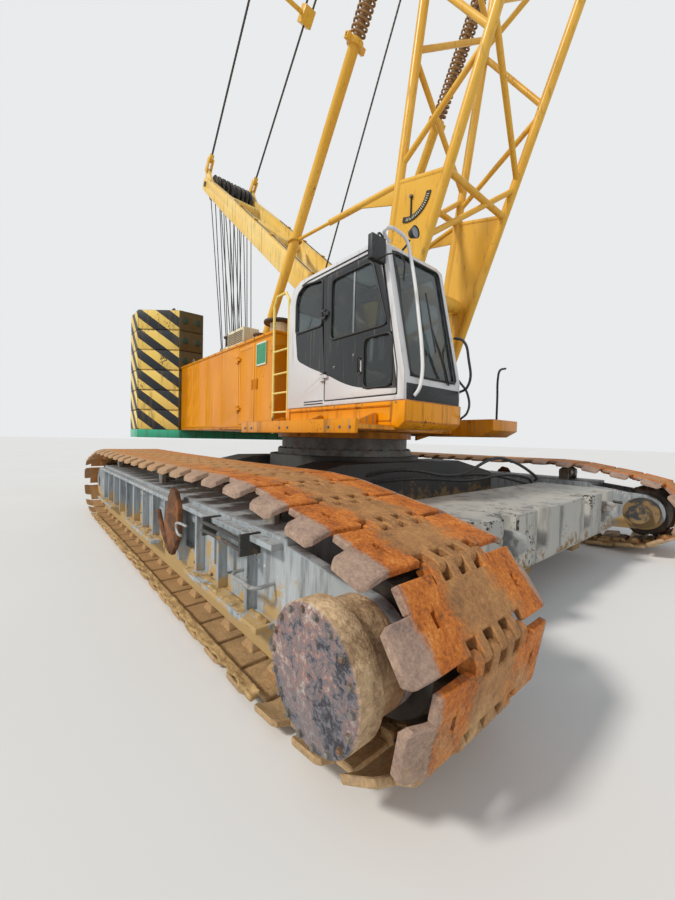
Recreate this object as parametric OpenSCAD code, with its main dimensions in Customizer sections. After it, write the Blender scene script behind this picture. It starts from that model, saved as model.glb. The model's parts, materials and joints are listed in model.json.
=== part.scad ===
// Crawler crane with a lattice boom, a live mast, a cab and a counterweight in two towers.
// Millimetres. X points forward, Y to the left, Z up; the ground is Z = 0 under the slew axis.

/* [Tracks] */
// Distance between the centre lines of the two tracks
track_gauge = 5600; // [5200:50:6200]
// Width of a track shoe
shoe_w = 1120; // [900:10:1200]
// Length of one shoe, from pin to pin
shoe_pitch = 370; // [320:5:420]
// Height of a shoe's face above the line of its pins
shoe_face = 46; // [40:1:60]
// Depth of a shoe below the line of its pins
shoe_back = 50; // [40:1:60]
// Distance from the slew axis to the drive tumbler and to the idler
tumbler_x = 3720; // [3500:10:4000]
// Height of the tumbler shaft
tumbler_z = 600; // [580:5:640]
// Radius of the pin line round a tumbler
tumbler_r = 450; // [430:5:470]
// Height of the pin line on the top run
top_run_z = 1232; // [1200:2:1260]
// Where the top run bends down to the tumblers
top_bend_x = 2700; // [2500:10:2900]
// Where the ground run bends up to the tumblers
ground_bend_x = 3130; // [2900:10:3250]
// Number of lower rollers on a side
lower_roller_count = 11; // [8:1:12]
// Diameter of a lower roller
lower_roller_d = 285; // [240:5:290]
// Number of upper rollers on a side
upper_roller_count = 3; // [2:1:4]
// Diameter of an upper roller
upper_roller_d = 190; // [150:5:210]

/* [Side frames] */
// Width of a side frame
side_frame_w = 700; // [600:10:760]
// Height of a side frame's underside
side_frame_z0 = 262; // [258:1:300]
// Height of a side frame's top
side_frame_z1 = 960; // [900:5:1000]
// Distance from the end of a side frame's box to the wheel shaft
frame_end_gap = 640; // [570:5:800]
// Width of the step ledge along a side frame
ledge_w = 130; // [80:5:160]
// Diameter of the final drive's cover
drive_d = 580; // [500:10:620]
// How far the final drive stands out of the shoes
drive_out = 95; // [60:5:140]

/* [Carbody] */
// Radius of the round centre body
carbody_r = 1280; // [1200:10:1400]
// Distance from the slew axis to the middle of a cross beam
cross_x = 1150; // [1050:10:1250]
// Width of a cross beam
cross_w = 620; // [500:10:700]
// Height of the carbody's top
carbody_top = 1290; // [1250:5:1320]
// Near face of a carbody weight
weight_x0 = 2550; // [2400:10:2650]
// Far face of a carbody weight
weight_x1 = 3540; // [3400:10:3600]
// Width of a carbody weight
weight_w = 3600; // [3200:20:3900]
// Height of a carbody weight's underside
weight_z0 = 450; // [400:10:480]
// Height of a carbody weight's top
weight_z1 = 950; // [900:10:980]

/* [Upper works] */
// Height of the turning frame's underside
deck_z = 1660; // [1640:5:1700]
// Width of the turning frame over its two girders
frame_w = 1560; // [1540:5:1564]
// Height of a girder
girder_h = 240; // [200:5:280]
// Width over the two houses
house_w = 3200; // [3000:20:3300]
// Rear end of the houses
house_x0 = -3720; // [-3720:10:-3500]
// Front end of the right house
house_x1 = 280; // [200:10:300]
// Height of the houses' roof
house_top = 3070; // [2900:10:3200]
// Thickness of a house panel
panel_t = 40; // [30:1:50]

/* [Cab] */
// Right side of the cab
cab_y0 = -1700; // [-1760:5:-1650]
// Left side of the cab, beside the boom foot
cab_y1 = -790; // [-800:1:-785]
// Rear wall of the cab
cab_x0 = 790; // [780:5:850]
// Front of the cab at its floor
cab_x1 = 2720; // [2600:10:2800]
// Underside of the cab shell
cab_z0 = 1920; // [1910:5:1960]
// Roof of the cab
cab_z1 = 3480; // [3400:10:3560]
// Wall thickness of the cab
cab_wall = 45; // [35:1:60]
// How far the windscreen leans back
screen_lean = 290; // [200:10:350]

/* [Boom] */
// Distance from the slew axis to the boom foot pin
boom_foot_x = 1350; // [1300:5:1400]
// Height of the boom foot pin
boom_foot_z = 2100; // [2080:5:2150]
// Boom angle above the ground
boom_angle = 75; // [70:1:78]
// Length of the butt section
butt_len = 7620; // [7000:10:8000]
// Length of the insert section
insert_len = 3050; // [2800:10:3400]
// Length of the top section
top_len = 7620; // [7000:10:8000]
// Boom width between chord centres
boom_w = 1340; // [1320:2:1344]
// Boom depth between chord centres
boom_depth = 1800; // [1600:10:1900]
// Chord diameter
chord_d = 120; // [100:2:130]
// Lacing diameter
lacing_d = 70; // [50:1:80]

/* [Mast] */
// Distance from the slew axis to the mast foot pin
mast_foot_x = 900; // [850:5:950]
// Height of the mast foot pin
mast_foot_z = 3100; // [3080:5:3150]
// Length of the mast from foot pin to tip pin
mast_len = 7770; // [7500:10:7900]
// Mast angle above the ground, leaning back
mast_angle = 40.6; // [39:0.1:42]
// Width between the mast's leg centres
mast_w = 1240; // [1230:2:1244]
// Width of a mast leg
mast_leg_w = 170; // [150:2:180]
// Depth of a mast leg at its middle
mast_leg_h = 380; // [300:10:420]

/* [Counterweight] */
// Front face of the towers
tower_x0 = -3740; // [-3800:10:-3730]
// Rear face of the towers
tower_x1 = -5500; // [-5600:10:-5300]
// Inner face of a tower
tower_y0 = 1120; // [1100:10:1200]
// Outer face of a tower
tower_y1 = 2350; // [2200:10:2400]
// Number of slabs in a tower
slab_count = 6; // [4:1:7]
// Height of one slab
slab_h = 445; // [400:5:460]
// Groove between two slabs
slab_gap = 12; // [6:1:16]
// Thickness of the tray under the towers
tray_t = 180; // [150:5:190]

/* [Hidden] */

yellow = "#E2B04A";
orange = "#E8890C";
rust = "#B5651D";
frame_grey = "#8F9BA3";
weight_grey = "#8E8E86";
dark = "#3C3E40";
green = "#3FAE8A";
cab_white = "#DCDDE0";
steel = "#7A7D80";

track_y = track_gauge / 2;
drum_y = 445;
boom_len = butt_len + insert_len + top_len;
boom_lean = 90 - boom_angle;
mast_lean = 90 - mast_angle;
foot_y = boom_w / 2;
mast_y = mast_w / 2;
seat_gap = 0.3;
pin_gap = 6;

// Rods and plates

// A round bar from point a to point b
module rod(a, b, d) {
    v = b - a;
    l = norm(v);
    translate(a)
        rotate([0, acos(v[2] / l), atan2(v[1], v[0])])
            cylinder(h = l, d = d, $fn = 24);
}

// A plate in the XZ plane, from y0 to y0 + t
module side_plate(points, y0, t) {
    translate([0, y0 + t, 0])
        rotate([90, 0, 0])
            linear_extrude(height = t)
                polygon(points);
}

// A round bar along Y at (x, z), from y0 to y1
module cross_bar(x, z, y0, y1, d) {
    translate([x, y1, z])
        rotate([90, 0, 0])
            cylinder(h = y1 - y0, d = d, $fn = 48);
}

// A wheel turned about Y at (x, z): rows of [y, radius] from one side to the other
module turned(x, z, rows) {
    translate([x, 0, z])
        rotate([-90, 0, 0])
            rotate_extrude($fn = 64)
                polygon(concat([[0, rows[0][0]]], [for (r = rows) [r[1], r[0]]],
                               [[0, rows[len(rows) - 1][0]]]));
}

module box(lo, hi) {
    translate(lo)
        cube(hi - lo);
}

module both_sides() {
    children();
    mirror([0, 1, 0])
        children();
}

// Track loop

// The pin line: [x, z] corner points with round ends, from the rear bottom forwards
end_low = -81;
end_high = 79;
end_steps = 10;
pin_path = concat(
    [for (i = [0:end_steps]) let(a = end_low + (end_high - end_low) * i / end_steps)
        [tumbler_x + tumbler_r * cos(a), tumbler_z + tumbler_r * sin(a)]],
    [[top_bend_x, top_run_z], [top_bend_x / 3, top_run_z - 12],
     [-top_bend_x / 3, top_run_z - 12], [-top_bend_x, top_run_z]],
    [for (i = [0:end_steps]) let(a = 180 - end_high + (end_high - end_low) * i / end_steps)
        [-tumbler_x + tumbler_r * cos(a), tumbler_z + tumbler_r * sin(a)]],
    [[-ground_bend_x, shoe_face], [ground_bend_x, shoe_face]]
);
path_n = len(pin_path);
leg = [for (i = [0:path_n - 1]) norm(pin_path[(i + 1) % path_n] - pin_path[i])];
function run_to(i) = i == 0 ? 0 : run_to(i - 1) + leg[i - 1];
run = [for (i = [0:path_n]) run_to(i)];
path_len = run[path_n];
shoe_count = round(path_len / shoe_pitch);

// The point at distance s along the pin line
function along(s, i = 0) =
    (i >= path_n - 1 || s <= run[i + 1])
        ? pin_path[i] + (pin_path[(i + 1) % path_n] - pin_path[i]) * (s - run[i]) / leg[i]
        : along(s, i + 1);
pins = [for (k = [0:shoe_count - 1]) along(path_len * k / shoe_count)];

// Outline of the shoes: raised by face, with an open joint of width gap and depth cut at each pin
function shoe_points(face, gap, cut) = [
    for (k = [0:shoe_count - 1])
        let(a = pins[k], b = pins[(k + 1) % shoe_count], u = (b - a) / norm(b - a), n = [u[1], -u[0]])
        each [a + u * gap + n * (face - cut), a + u * gap + n * face,
              b - u * gap + n * face, b - u * gap + n * (face - cut)]
];
function back_points(depth) = [
    for (k = [0:shoe_count - 1])
        let(a = pins[(k + shoe_count - 1) % shoe_count], b = pins[(k + 1) % shoe_count],
            u = (b - a) / norm(b - a), n = [u[1], -u[0]])
        pins[k] - n * depth
];

module loop_zone(y0, y1, face, gap, cut) {
    translate([0, y1, 0])
        rotate([90, 0, 0])
            linear_extrude(height = y1 - y0)
                difference() {
                    polygon(shoe_points(face, gap, cut));
                    polygon(back_points(shoe_back));
                }
}

tab_w = 190;
tab_drop = 22;
module track() {
    loop_zone(track_y - shoe_w / 2, track_y - shoe_w / 2 + tab_w, shoe_face - tab_drop, 70, 30);
    loop_zone(track_y - shoe_w / 2 + tab_w, track_y + shoe_w / 2 - tab_w, shoe_face, 12, 34);
    loop_zone(track_y + shoe_w / 2 - tab_w, track_y + shoe_w / 2, shoe_face - tab_drop, 70, 30);
}

module track_left() {
    color(rust)
        track();
}

module track_right() {
    color(rust)
        mirror([0, 1, 0])
            track();
}

// Side frames with their wheels

side_frame_half = tumbler_x - frame_end_gap;
frame_y0 = track_y - side_frame_w / 2;
frame_y1 = track_y + side_frame_w / 2;
fork_t = 70;
fork_r = 250;
wheel_half = side_frame_w / 2 - fork_t - 20;
roller_z = shoe_face + shoe_back + lower_roller_d / 2;
skirt_t = 50;
rib_w = 40;
rib_out = 70;

// One end of a side frame: two fork plates with round noses for the wheel shaft
module fork() {
    for (y = [frame_y0, frame_y1 - fork_t])
        difference() {
            union() {
                side_plate([[side_frame_half - 10, side_frame_z0 + 40], [tumbler_x - 60, tumbler_z - fork_r],
                            [tumbler_x, tumbler_z + fork_r],
                            [side_frame_half - 10, side_frame_z1 - 40]], y, fork_t);
                cross_bar(tumbler_x, tumbler_z, y, y + fork_t, fork_r * 2);
            }
            cross_bar(tumbler_x, tumbler_z, y - 1, y + fork_t + 1, 200.6);
        }
}

module side_frame() {
    difference() {
        union() {
            box([-side_frame_half, frame_y0, side_frame_z0 + 130],
                [side_frame_half, frame_y1, side_frame_z1]);
            for (y = [frame_y0, frame_y1 - skirt_t])
                box([-side_frame_half + 60, y, roller_z - 60],
                    [side_frame_half - 60, y + skirt_t, side_frame_z0 + 131]);
        }
        // openings in the outer wall between the ribs
        for (x = [-2250:900:2250])
            box([x - 230, frame_y1 - 60, side_frame_z0 + 260], [x + 230, frame_y1 + 1, side_frame_z1 - 190]);
    }
    // upright ribs and the two long flanges of the outer wall
    for (x = [-2700:450:2700])
        box([x - rib_w / 2, frame_y1 - 1, side_frame_z0 + 130],
            [x + rib_w / 2, frame_y1 + rib_out, side_frame_z1 - 60]);
    box([-side_frame_half + 40, frame_y1 - 1, side_frame_z1 - 70],
        [side_frame_half - 40, frame_y1 + rib_out + 10, side_frame_z1 - 30]);
    // step ledge in three parts
    for (run = [[120 - side_frame_half, -1690], [-660, 660], [1690, side_frame_half - 120]])
        box([run[0], frame_y1 - 1, side_frame_z0 + 120], [run[1], frame_y1 + ledge_w, side_frame_z0 + 160]);
    fork();
    mirror([1, 0, 0])
        fork();
}

module side_frame_left() {
    color(frame_grey)
        side_frame();
}

module side_frame_right() {
    color(frame_grey)
        mirror([0, 1, 0])
            side_frame();
}

module lower_rollers() {
    half = side_frame_w / 2 - skirt_t;
    span = side_frame_half * 2 - 700;
    color(steel)
        both_sides()
            for (i = [0:lower_roller_count - 1])
                translate([0, track_y, 0])
                    turned(-span / 2 + span * i / (lower_roller_count - 1), roller_z + seat_gap,
                        [[-half + seat_gap, 45], [-half + 40, 45], [-half + 40, lower_roller_d / 2],
                         [-120, lower_roller_d / 2], [-110, lower_roller_d / 2 - 45],
                         [110, lower_roller_d / 2 - 45], [120, lower_roller_d / 2],
                         [half - 40, lower_roller_d / 2], [half - 40, 45], [half - seat_gap, 45]]);
}

upper_roller_z = top_run_z - shoe_back - upper_roller_d / 2 - 14;
module upper_rollers() {
    color(steel)
        both_sides()
            for (i = [0:upper_roller_count - 1])
                translate([-top_bend_x + 60 + (2 * top_bend_x - 120) * i / (upper_roller_count - 1),
                           track_y, 0]) {
                    turned(0, upper_roller_z,
                        [[-190, 30], [-150, 30], [-150, upper_roller_d / 2], [-60, upper_roller_d / 2],
                         [-50, upper_roller_d / 2 - 20], [50, upper_roller_d / 2 - 20],
                         [60, upper_roller_d / 2], [150, upper_roller_d / 2], [150, 30], [190, 30]]);
                    for (y = [-215, 175])
                        box([-70, y, side_frame_z1], [70, y + 40, upper_roller_z + 55]);
                }
}

lobe_count = 9;
wheel_rim = sqrt(pow(tumbler_r, 2) - pow(shoe_pitch / 2, 2)) - shoe_back - 4;
module drive_tumblers() {
    color(dark)
        both_sides()
            difference() {
                translate([0, track_y, 0])
                    turned(tumbler_x, tumbler_z,
                        [[-frame_hub, 100], [-wheel_half, 100], [-wheel_half, wheel_rim - 40],
                         [-wheel_half + 60, wheel_rim],
                         [-90, wheel_rim], [-80, wheel_rim - 90], [80, wheel_rim - 90], [90, wheel_rim],
                         [wheel_half - 60, wheel_rim], [wheel_half, wheel_rim - 40], [wheel_half, 100],
                         [frame_hub, 100]]);
                // pockets between the driving lobes
                for (i = [0:lobe_count - 1])
                    translate([tumbler_x, track_y, tumbler_z])
                        rotate([0, 360 * i / lobe_count, 0])
                            translate([wheel_rim + 30, 0, 0])
                                rotate([90, 0, 0])
                                    cylinder(h = side_frame_w, d = 130, center = true, $fn = 32);
            }
}
frame_hub = side_frame_w / 2 - 1;

module idlers() {
    color(dark)
        both_sides()
            translate([0, track_y, 0])
                turned(-tumbler_x, tumbler_z,
                    [[-frame_hub, 100], [-wheel_half, 100], [-wheel_half, 240], [-wheel_half + 20, wheel_rim],
                     [-110, wheel_rim], [-100, wheel_rim - 50], [100, wheel_rim - 50], [110, wheel_rim],
                     [wheel_half - 20, wheel_rim], [wheel_half, 240], [wheel_half, 100], [frame_hub, 100]]);
}

module final_drives() {
    face = track_y + shoe_w / 2 + drive_out;
    color(dark)
        both_sides()
            turned(tumbler_x, tumbler_z,
                [[frame_y1 + seat_gap, drive_d / 2 - 40], [face - 130, drive_d / 2 - 40],
                 [face - 130, drive_d / 2], [face - 12, drive_d / 2], [face, drive_d / 2 - 12],
                 [face, 90], [face + 10, 80]]);
}

// Travel motors on the inner side of the frames
module drive_motors() {
    color(dark)
        both_sides() {
            turned(tumbler_x, tumbler_z,
                [[frame_y0 - 330, 120], [frame_y0 - 320, 130], [frame_y0 - 120, 130],
                 [frame_y0 - 120, 210], [frame_y0 - seat_gap, 210]]);
            turned(-tumbler_x, tumbler_z,
                [[frame_y0 - 60, 110], [frame_y0 - 50, 130], [frame_y0 - seat_gap, 130]]);
        }
}

// Carbody

arm_y = 700;
arm_w = 260;
arm_z0 = 300;
module carbody() {
    color(dark)
        difference() {
            union() {
                translate([0, 0, 420])
                    cylinder(h = carbody_top - 420, r = carbody_r, $fn = 96);
                for (x = [-cross_x, cross_x])
                    side_plate_y(x);
                // brackets that carry the carbody weights
                for (y = [-arm_y, arm_y])
                    box([-weight_x1 + 120, y - arm_w / 2, arm_z0],
                        [weight_x1 - 120, y + arm_w / 2, weight_z0]);
                for (x = [-1, 1], y = [-arm_y, arm_y])
                    box([min(x * cross_x, x * (weight_x0 - 20)), y - arm_w / 2, weight_z0 - 1],
                        [max(x * cross_x, x * (weight_x0 - 20)), y + arm_w / 2, weight_z0 + 230]);
            }
            translate([0, 0, 300])
                cylinder(h = 1200, r = 620, $fn = 96);
        }
}

// A cross beam: deep in the middle, shallower where it meets the side frames
module side_plate_y(x) {
    y1 = frame_y0;
    translate([x - cross_w / 2, 0, 0])
        rotate([90, 0, 90])
            linear_extrude(height = cross_w)
                polygon([[-y1, 430], [y1, 430], [y1, side_frame_z1], [y1 - 120, side_frame_z1 + 60],
                         [1300, carbody_top - 60],
                         [-1300, carbody_top - 60], [-y1 + 120, side_frame_z1 + 60], [-y1, side_frame_z1]]);
}

notch_w = 240;
notch_in = 150;
notch_ys = [-1300, -650, 650, 1300];
lug_ys = [-1300, 1300];
module carbody_weights() {
    color(weight_grey)
        for (s = [-1, 1])
            difference() {
                box([min(s * weight_x0, s * weight_x1), -weight_w / 2, weight_z0 + seat_gap],
                    [max(s * weight_x0, s * weight_x1), weight_w / 2, weight_z1]);
                for (y = notch_ys)
                    box([s > 0 ? weight_x1 - notch_in : -weight_x1 - 1, y - notch_w / 2, weight_z0 + 140],
                        [s > 0 ? weight_x1 + 1 : -weight_x1 + notch_in, y + notch_w / 2, weight_z1 + 1]);
                // bevelled outer ends
                for (y = [-1, 1])
                    translate([s * weight_x1, y * weight_w / 2, 0])
                        rotate([0, 0, 45])
                            translate([-90, -90, 0])
                                cube([180, 180, 2200]);
            }
}

lug_t = 60;
lug_r = 90;
lug_bore = 70;
lug_x = weight_x1 + 40;
lug_z = weight_z0 + 300;
module weight_lugs() {
    color(steel)
        for (s = [-1, 1], y = lug_ys)
            difference() {
                union() {
                    side_plate([[s * (weight_x1 - notch_in + seat_gap), lug_z - lug_r],
                                [s * lug_x, lug_z - lug_r],
                                [s * lug_x, lug_z + lug_r],
                                [s * (weight_x1 - notch_in + seat_gap), lug_z + lug_r]],
                               y - lug_t / 2, lug_t);
                    cross_bar(s * lug_x, lug_z, y - lug_t / 2, y + lug_t / 2, lug_r * 2);
                }
                cross_bar(s * lug_x, lug_z, y - lug_t, y + lug_t, lug_bore);
            }
}

ring_r = 1150;
module slew_ring() {
    color(steel)
        difference() {
            union() {
                translate([0, 0, carbody_top + seat_gap])
                    cylinder(h = 90, r = ring_r, $fn = 96);
                translate([0, 0, carbody_top + 89])
                    cylinder(h = deck_z - 100 - seat_gap - carbody_top - 89, r = ring_r - 70, $fn = 96);
            }
            translate([0, 0, carbody_top - 10])
                cylinder(h = 400, r = 900, $fn = 96);
        }
}

// Turning frame

girder_y1 = frame_w / 2;
girder_y0 = 440;
deck_top = deck_z + girder_h;
clevis_t = 36;
boom_plate_t = 60;
bracket_y = foot_y + boom_plate_t / 2 + pin_gap + 6;
inner_bracket_y = mast_y - mast_leg_w / 2 - pin_gap - clevis_t;
house_y1 = house_w / 2;
drums = [["main", -300], ["auxiliary", -1450], ["boom hoist", -2600]];
drum_z = deck_top + 520;

// Tall outer bracket that holds the boom foot in front and the mast foot above
module foot_bracket() {
    difference() {
        union() {
            side_plate([[250, deck_top - 20], [boom_foot_x + 260, deck_top - 20],
                        [boom_foot_x + 210, boom_foot_z + 60],
                        [boom_foot_x + 60, boom_foot_z + 220], [mast_foot_x + 190, mast_foot_z - 60],
                        [mast_foot_x + 120, mast_foot_z + 150], [mast_foot_x - 120, mast_foot_z + 150],
                        [mast_foot_x - 190, mast_foot_z - 40]], bracket_y, clevis_t);
            side_plate([[420, deck_top - 20], [boom_foot_x - 260, deck_top - 20],
                        [mast_foot_x + 180, mast_foot_z - 40],
                        [mast_foot_x + 110, mast_foot_z + 150], [mast_foot_x - 110, mast_foot_z + 150],
                        [mast_foot_x - 180, mast_foot_z - 40]], inner_bracket_y, clevis_t);
            side_plate([[boom_foot_x - 200, deck_top - 20], [boom_foot_x + 200, deck_top - 20],
                        [boom_foot_x + 160, boom_foot_z + 110], [boom_foot_x + 60, boom_foot_z + 180],
                        [boom_foot_x - 60, boom_foot_z + 180], [boom_foot_x - 160, boom_foot_z + 110]],
                       foot_y - boom_plate_t / 2 - pin_gap - clevis_t, clevis_t);
            // pins, with their heads outside the plates
            cross_bar(boom_foot_x, boom_foot_z, foot_y - boom_plate_t / 2 - pin_gap - clevis_t - 20,
                      bracket_y + clevis_t - 2, 110);
            cross_bar(mast_foot_x, mast_foot_z, inner_bracket_y - 30, bracket_y + clevis_t - 2, 110);
            // plate that ties the two tall brackets behind the mast foot
            box([430, inner_bracket_y, deck_top - 20], [470, bracket_y + clevis_t, mast_foot_z - 700]);
        }
    }
}

module turning_frame() {
    color(orange)
        difference() {
            union() {
                box([tower_x1 + 150, -girder_y1, deck_z], [boom_foot_x + 300, girder_y1, deck_z + 40]);
                both_sides() {
                    box([tower_x1 + 150, girder_y0, deck_z], [boom_foot_x + 300, girder_y1, deck_top]);
                    // drum side plates
                    for (d = drums)
                        side_plate([[d[1] - 420, deck_top - 20], [d[1] + 420, deck_top - 20],
                                    [d[1] + 140, drum_z + 150],
                                    [d[1] - 140, drum_z + 150]], drum_y + 1, 45);
                    foot_bracket();
                    // deck beside the girder that carries a house
                    box([house_x0, girder_y1 - 1, deck_z], [house_x1, house_y1, deck_z + 40]);
                }
                both_sides()
                    box([house_x1 - 1, girder_y1 - 1, deck_z], [cab_x0 - 31, house_y1, deck_z + 40]);
                translate([0, 0, deck_z - 100])
                    cylinder(h = 101, r = ring_r, $fn = 96);
                for (x = [-3650, -900, 300, boom_foot_x + 180])
                    box([x - 60, -girder_y0 - 1, deck_z + 1], [x + 60, girder_y0 + 1, deck_top]);
                // front bumper plate under the boom foot
                box([boom_foot_x + 260, -girder_y1, deck_z], [boom_foot_x + 300, girder_y1, deck_top + 40]);
            }
            translate([0, 0, deck_z - 200])
                cylinder(h = 201, r = 900, $fn = 96);
            // bearings of the drums
            for (d = drums)
                cross_bar(d[1], drum_z, -700, 700, 180.6);
        }
}

// Door hinges: a pin between two fixed knuckles, and the door's knuckle round it

hinge_out = 18;
knuckle_d = 30;
hinge_pin_d = 16;
module hinge_fixed(x, face_y, side, zs) {
    for (z = zs)
        difference() {
            union() {
                for (dz = [-55, 25])
                    translate([x, face_y - hinge_out, z + dz])
                        cylinder(h = 30, d = knuckle_d, $fn = 32);
                translate([x, face_y - hinge_out, z - 55])
                    cylinder(h = 110, d = hinge_pin_d, $fn = 32);
                for (dz = [-55, 25])
                    box([min(x, x + side * 60), face_y - hinge_out - 8, z + dz],
                        [max(x, x + side * 60), face_y + 1, z + dz + 30]);
            }
        }
}

module hinge_moving(x, face_y, side, zs) {
    for (z = zs)
        difference() {
            union() {
                translate([x, face_y - hinge_out, z - 23])
                    cylinder(h = 46, d = knuckle_d, $fn = 32);
                box([min(x, x + side * 70), face_y - hinge_out - 8, z - 23],
                    [max(x, x + side * 70), face_y - hinge_out + 8, z + 23]);
                box([min(x + side * 30, x + side * 70), face_y - hinge_out - 8, z - 23],
                    [max(x + side * 30, x + side * 70), face_y + 1, z + 23]);
            }
            translate([x, face_y - hinge_out, z - 30])
                cylinder(h = 60, d = hinge_pin_d + 0.1, $fn = 32);
        }
}

// Houses

door_split = -310;
door_rear = -850;
door_front = house_x1 - 30;
door_z0 = deck_z + 90;
door_z1 = house_top - 70;

module house(x0, x1, y0, y1) {
    difference() {
        box([x0, y0, deck_z + 40 + seat_gap], [x1, y1, house_top]);
        box([x0 + panel_t, y0 + panel_t, deck_z], [x1 - panel_t, y1 - panel_t, house_top - panel_t]);
    }
}

module house_right() {
    color(orange)
        difference() {
            union() {
                house(house_x0, house_x1, -house_y1, -girder_y1 - 10);
                // drip rail along the roof edge
                box([house_x0 - 15, -house_y1 - 15, house_top - 45],
                    [house_x1 + 15, -girder_y1 - 10, house_top - 5]);
                hinge_fixed(door_front + hinge_side_gap, -house_y1, 1, house_hinge_zs);
                hinge_fixed(door_rear - hinge_side_gap, -house_y1, -1, house_hinge_zs);
            }
            box([house_x0 + panel_t, -house_y1 + panel_t, deck_z],
                [house_x1 - panel_t, -girder_y1 - 10 - panel_t, house_top - panel_t]);
            // doorway behind the two leaves
            box([door_rear - 6, -house_y1, door_z0 - 6],
                [door_front + 6, -house_y1 + panel_t + 1, door_z1 + 6]);
            // panel joints
            for (x = [-3000, -2280, -1560])
                box([x - 5, -house_y1 - 1, deck_z + 90], [x + 5, -house_y1 + 8, house_top - 60]);
        }
}

module house_left() {
    color(orange)
        difference() {
            union() {
                house(house_x0, house_x1 + 420, girder_y1 + 10, house_y1);
                box([house_x0 - 15, girder_y1 + 10, house_top - 45],
                    [house_x1 + 435, house_y1 + 15, house_top - 5]);
            }
            box([house_x0 + panel_t, girder_y1 + 10 + panel_t, deck_z],
                [house_x1 + 420 - panel_t, house_y1 - panel_t, house_top - panel_t]);
            // air slots of the radiator
            for (z = [deck_z + 250:120:house_top - 250])
                box([-3300, house_y1 - panel_t - 1, z], [-2200, house_y1 + 1, z + 60]);
            for (x = [-1900, -1100, -300])
                box([x - 5, house_y1 - 8, deck_z + 90], [x + 5, house_y1 + 1, house_top - 60]);
        }
}

leaf_gap = 10;
hinge_side_gap = 3;
house_hinge_zs = [2000, 2800];
module leaf(x0, x1) {
    difference() {
        box([x0, -house_y1, door_z0], [x1, -house_y1 + panel_t, door_z1]);
        // pressed panel
        box([x0 + 60, -house_y1 - 1, door_z0 + 70], [x1 - 60, -house_y1 + 6, door_z1 - 70]);
    }
}

module house_door_front() {
    color(orange)
        union() {
            leaf(door_split + leaf_gap / 2, door_front);
            hinge_moving(door_front + hinge_side_gap, -house_y1, -1, house_hinge_zs);
        }
}

module house_door_rear() {
    color(orange)
        union() {
            leaf(door_rear, door_split - leaf_gap / 2);
            hinge_moving(door_rear - hinge_side_gap, -house_y1, 1, house_hinge_zs);
        }
}

module engine() {
    color(steel)
        box([house_x0 + 820, 120 - house_y1, deck_z + 40 + seat_gap],
            [house_x1 - 1280, -girder_y1 - 120, house_top - 320]);
}

// Air intake caps, exhaust pipe and grille boxes on the right roof: [x, y, diameter, height]
roof_caps = [[-60, -1320, 480, 240], [-520, -1420, 190, 130], [-2100, -1250, 150, 420],
             [-2700, -1200, 300, 90]];
module roof_fittings() {
    color(dark) {
        for (c = roof_caps)
            translate([c[0], c[1], house_top + seat_gap])
                union() {
                    cylinder(h = c[3] - 40, d = c[2] * 0.6, $fn = 32);
                    translate([0, 0, c[3] - 41])
                        cylinder(h = 41, d = c[2], $fn = 32);
                }
        // grille box beside the backstop's seat, and a flat box behind it
        box([-1360, -1580, house_top + seat_gap], [-740, -1300, house_top + 270]);
        box([-1950, -1480, house_top + seat_gap], [-1420, -1000, house_top + 110]);
    }
}

// Cab

screen_x = cab_x1 - screen_lean;
// Side outline of the cab, drawn in by e all round
function cab_outline(e) = [
    [cab_x0 + e, cab_z0 + e], [cab_x1 - e, cab_z0 + e], [cab_x1 - 6 - e, cab_z0 + 260],
    [screen_x + 20 - e, cab_z1 - 90], [screen_x - 60 - e, cab_z1 - e],
    [cab_x0 + 260, cab_z1 - e], [cab_x0 + 90 + e * 0.3, cab_z1 - 70 - e * 0.5], [cab_x0 + e, cab_z1 - 250]
];
door_x0 = 1560;
door_low = cab_z0 + 60;
door_high = cab_z1 - 100;
// Outline of the door, drawn in by e all round
function door_outline(e) = [
    [door_x0 + e, door_low + e], [cab_x1 - 95 - e, door_low + e], [cab_x1 - 100 - e, cab_z0 + 300],
    [screen_x - 55 - e, door_high - e], [door_x0 + e, door_high - e]
];
quarter_window = [[960, 2840], [1490, 2840], [1490, 3360], [1130, 3400], [1000, 3330], [960, 3220]];
door_window = [[1650, 2640], [2490, 2640], [screen_x - 150, door_high - 80], [1650, door_high - 80]];
left_rear_window = [[960, 2500], [1560, 2500], [1560, 3370], [1130, 3400], [960, 3220]];
left_front_window = [[1640, 2300], [2580, 2300], [screen_x - 90, 3370], [1640, 3370]];
low_window = [[2180, 2060], [2570, 2060], [2555, 2560], [2180, 2560]];

module cab_cut(points, y) {
    side_plate(points, y, cab_wall + 60);
}

cab_hinge_zs = [2250, 2950];
module cab_shell() {
    color(cab_white)
        difference() {
            union() {
                side_plate(cab_outline(0), cab_y0, cab_y1 - cab_y0);
                hinge_fixed(door_x0 - hinge_side_gap, cab_y0, -1, cab_hinge_zs);
            }
            side_plate(cab_outline(cab_wall), cab_y0 + cab_wall, cab_y1 - cab_y0 - 2 * cab_wall);
            // door opening and right quarter window
            cab_cut(door_outline(-8), cab_y0);
            cab_cut(quarter_window, cab_y0);
            // left windows
            cab_cut(left_rear_window, cab_y1 - cab_wall - 30);
            cab_cut(left_front_window, cab_y1 - cab_wall - 30);
            // windscreen, rear window and roof window
            box([screen_x - 120, cab_y0 + 80, cab_z0 + 220], [cab_x1 + 20, cab_y1 - 80, cab_z1 - 110]);
            box([cab_x0 - 20, cab_y0 + 130, 2700], [cab_x0 + cab_wall + 20, cab_y1 - 130, 3200]);
            box([1500, cab_y0 + 160, cab_z1 - cab_wall - 20], [2150, cab_y1 - 160, cab_z1 + 20]);
        }
}

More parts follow.
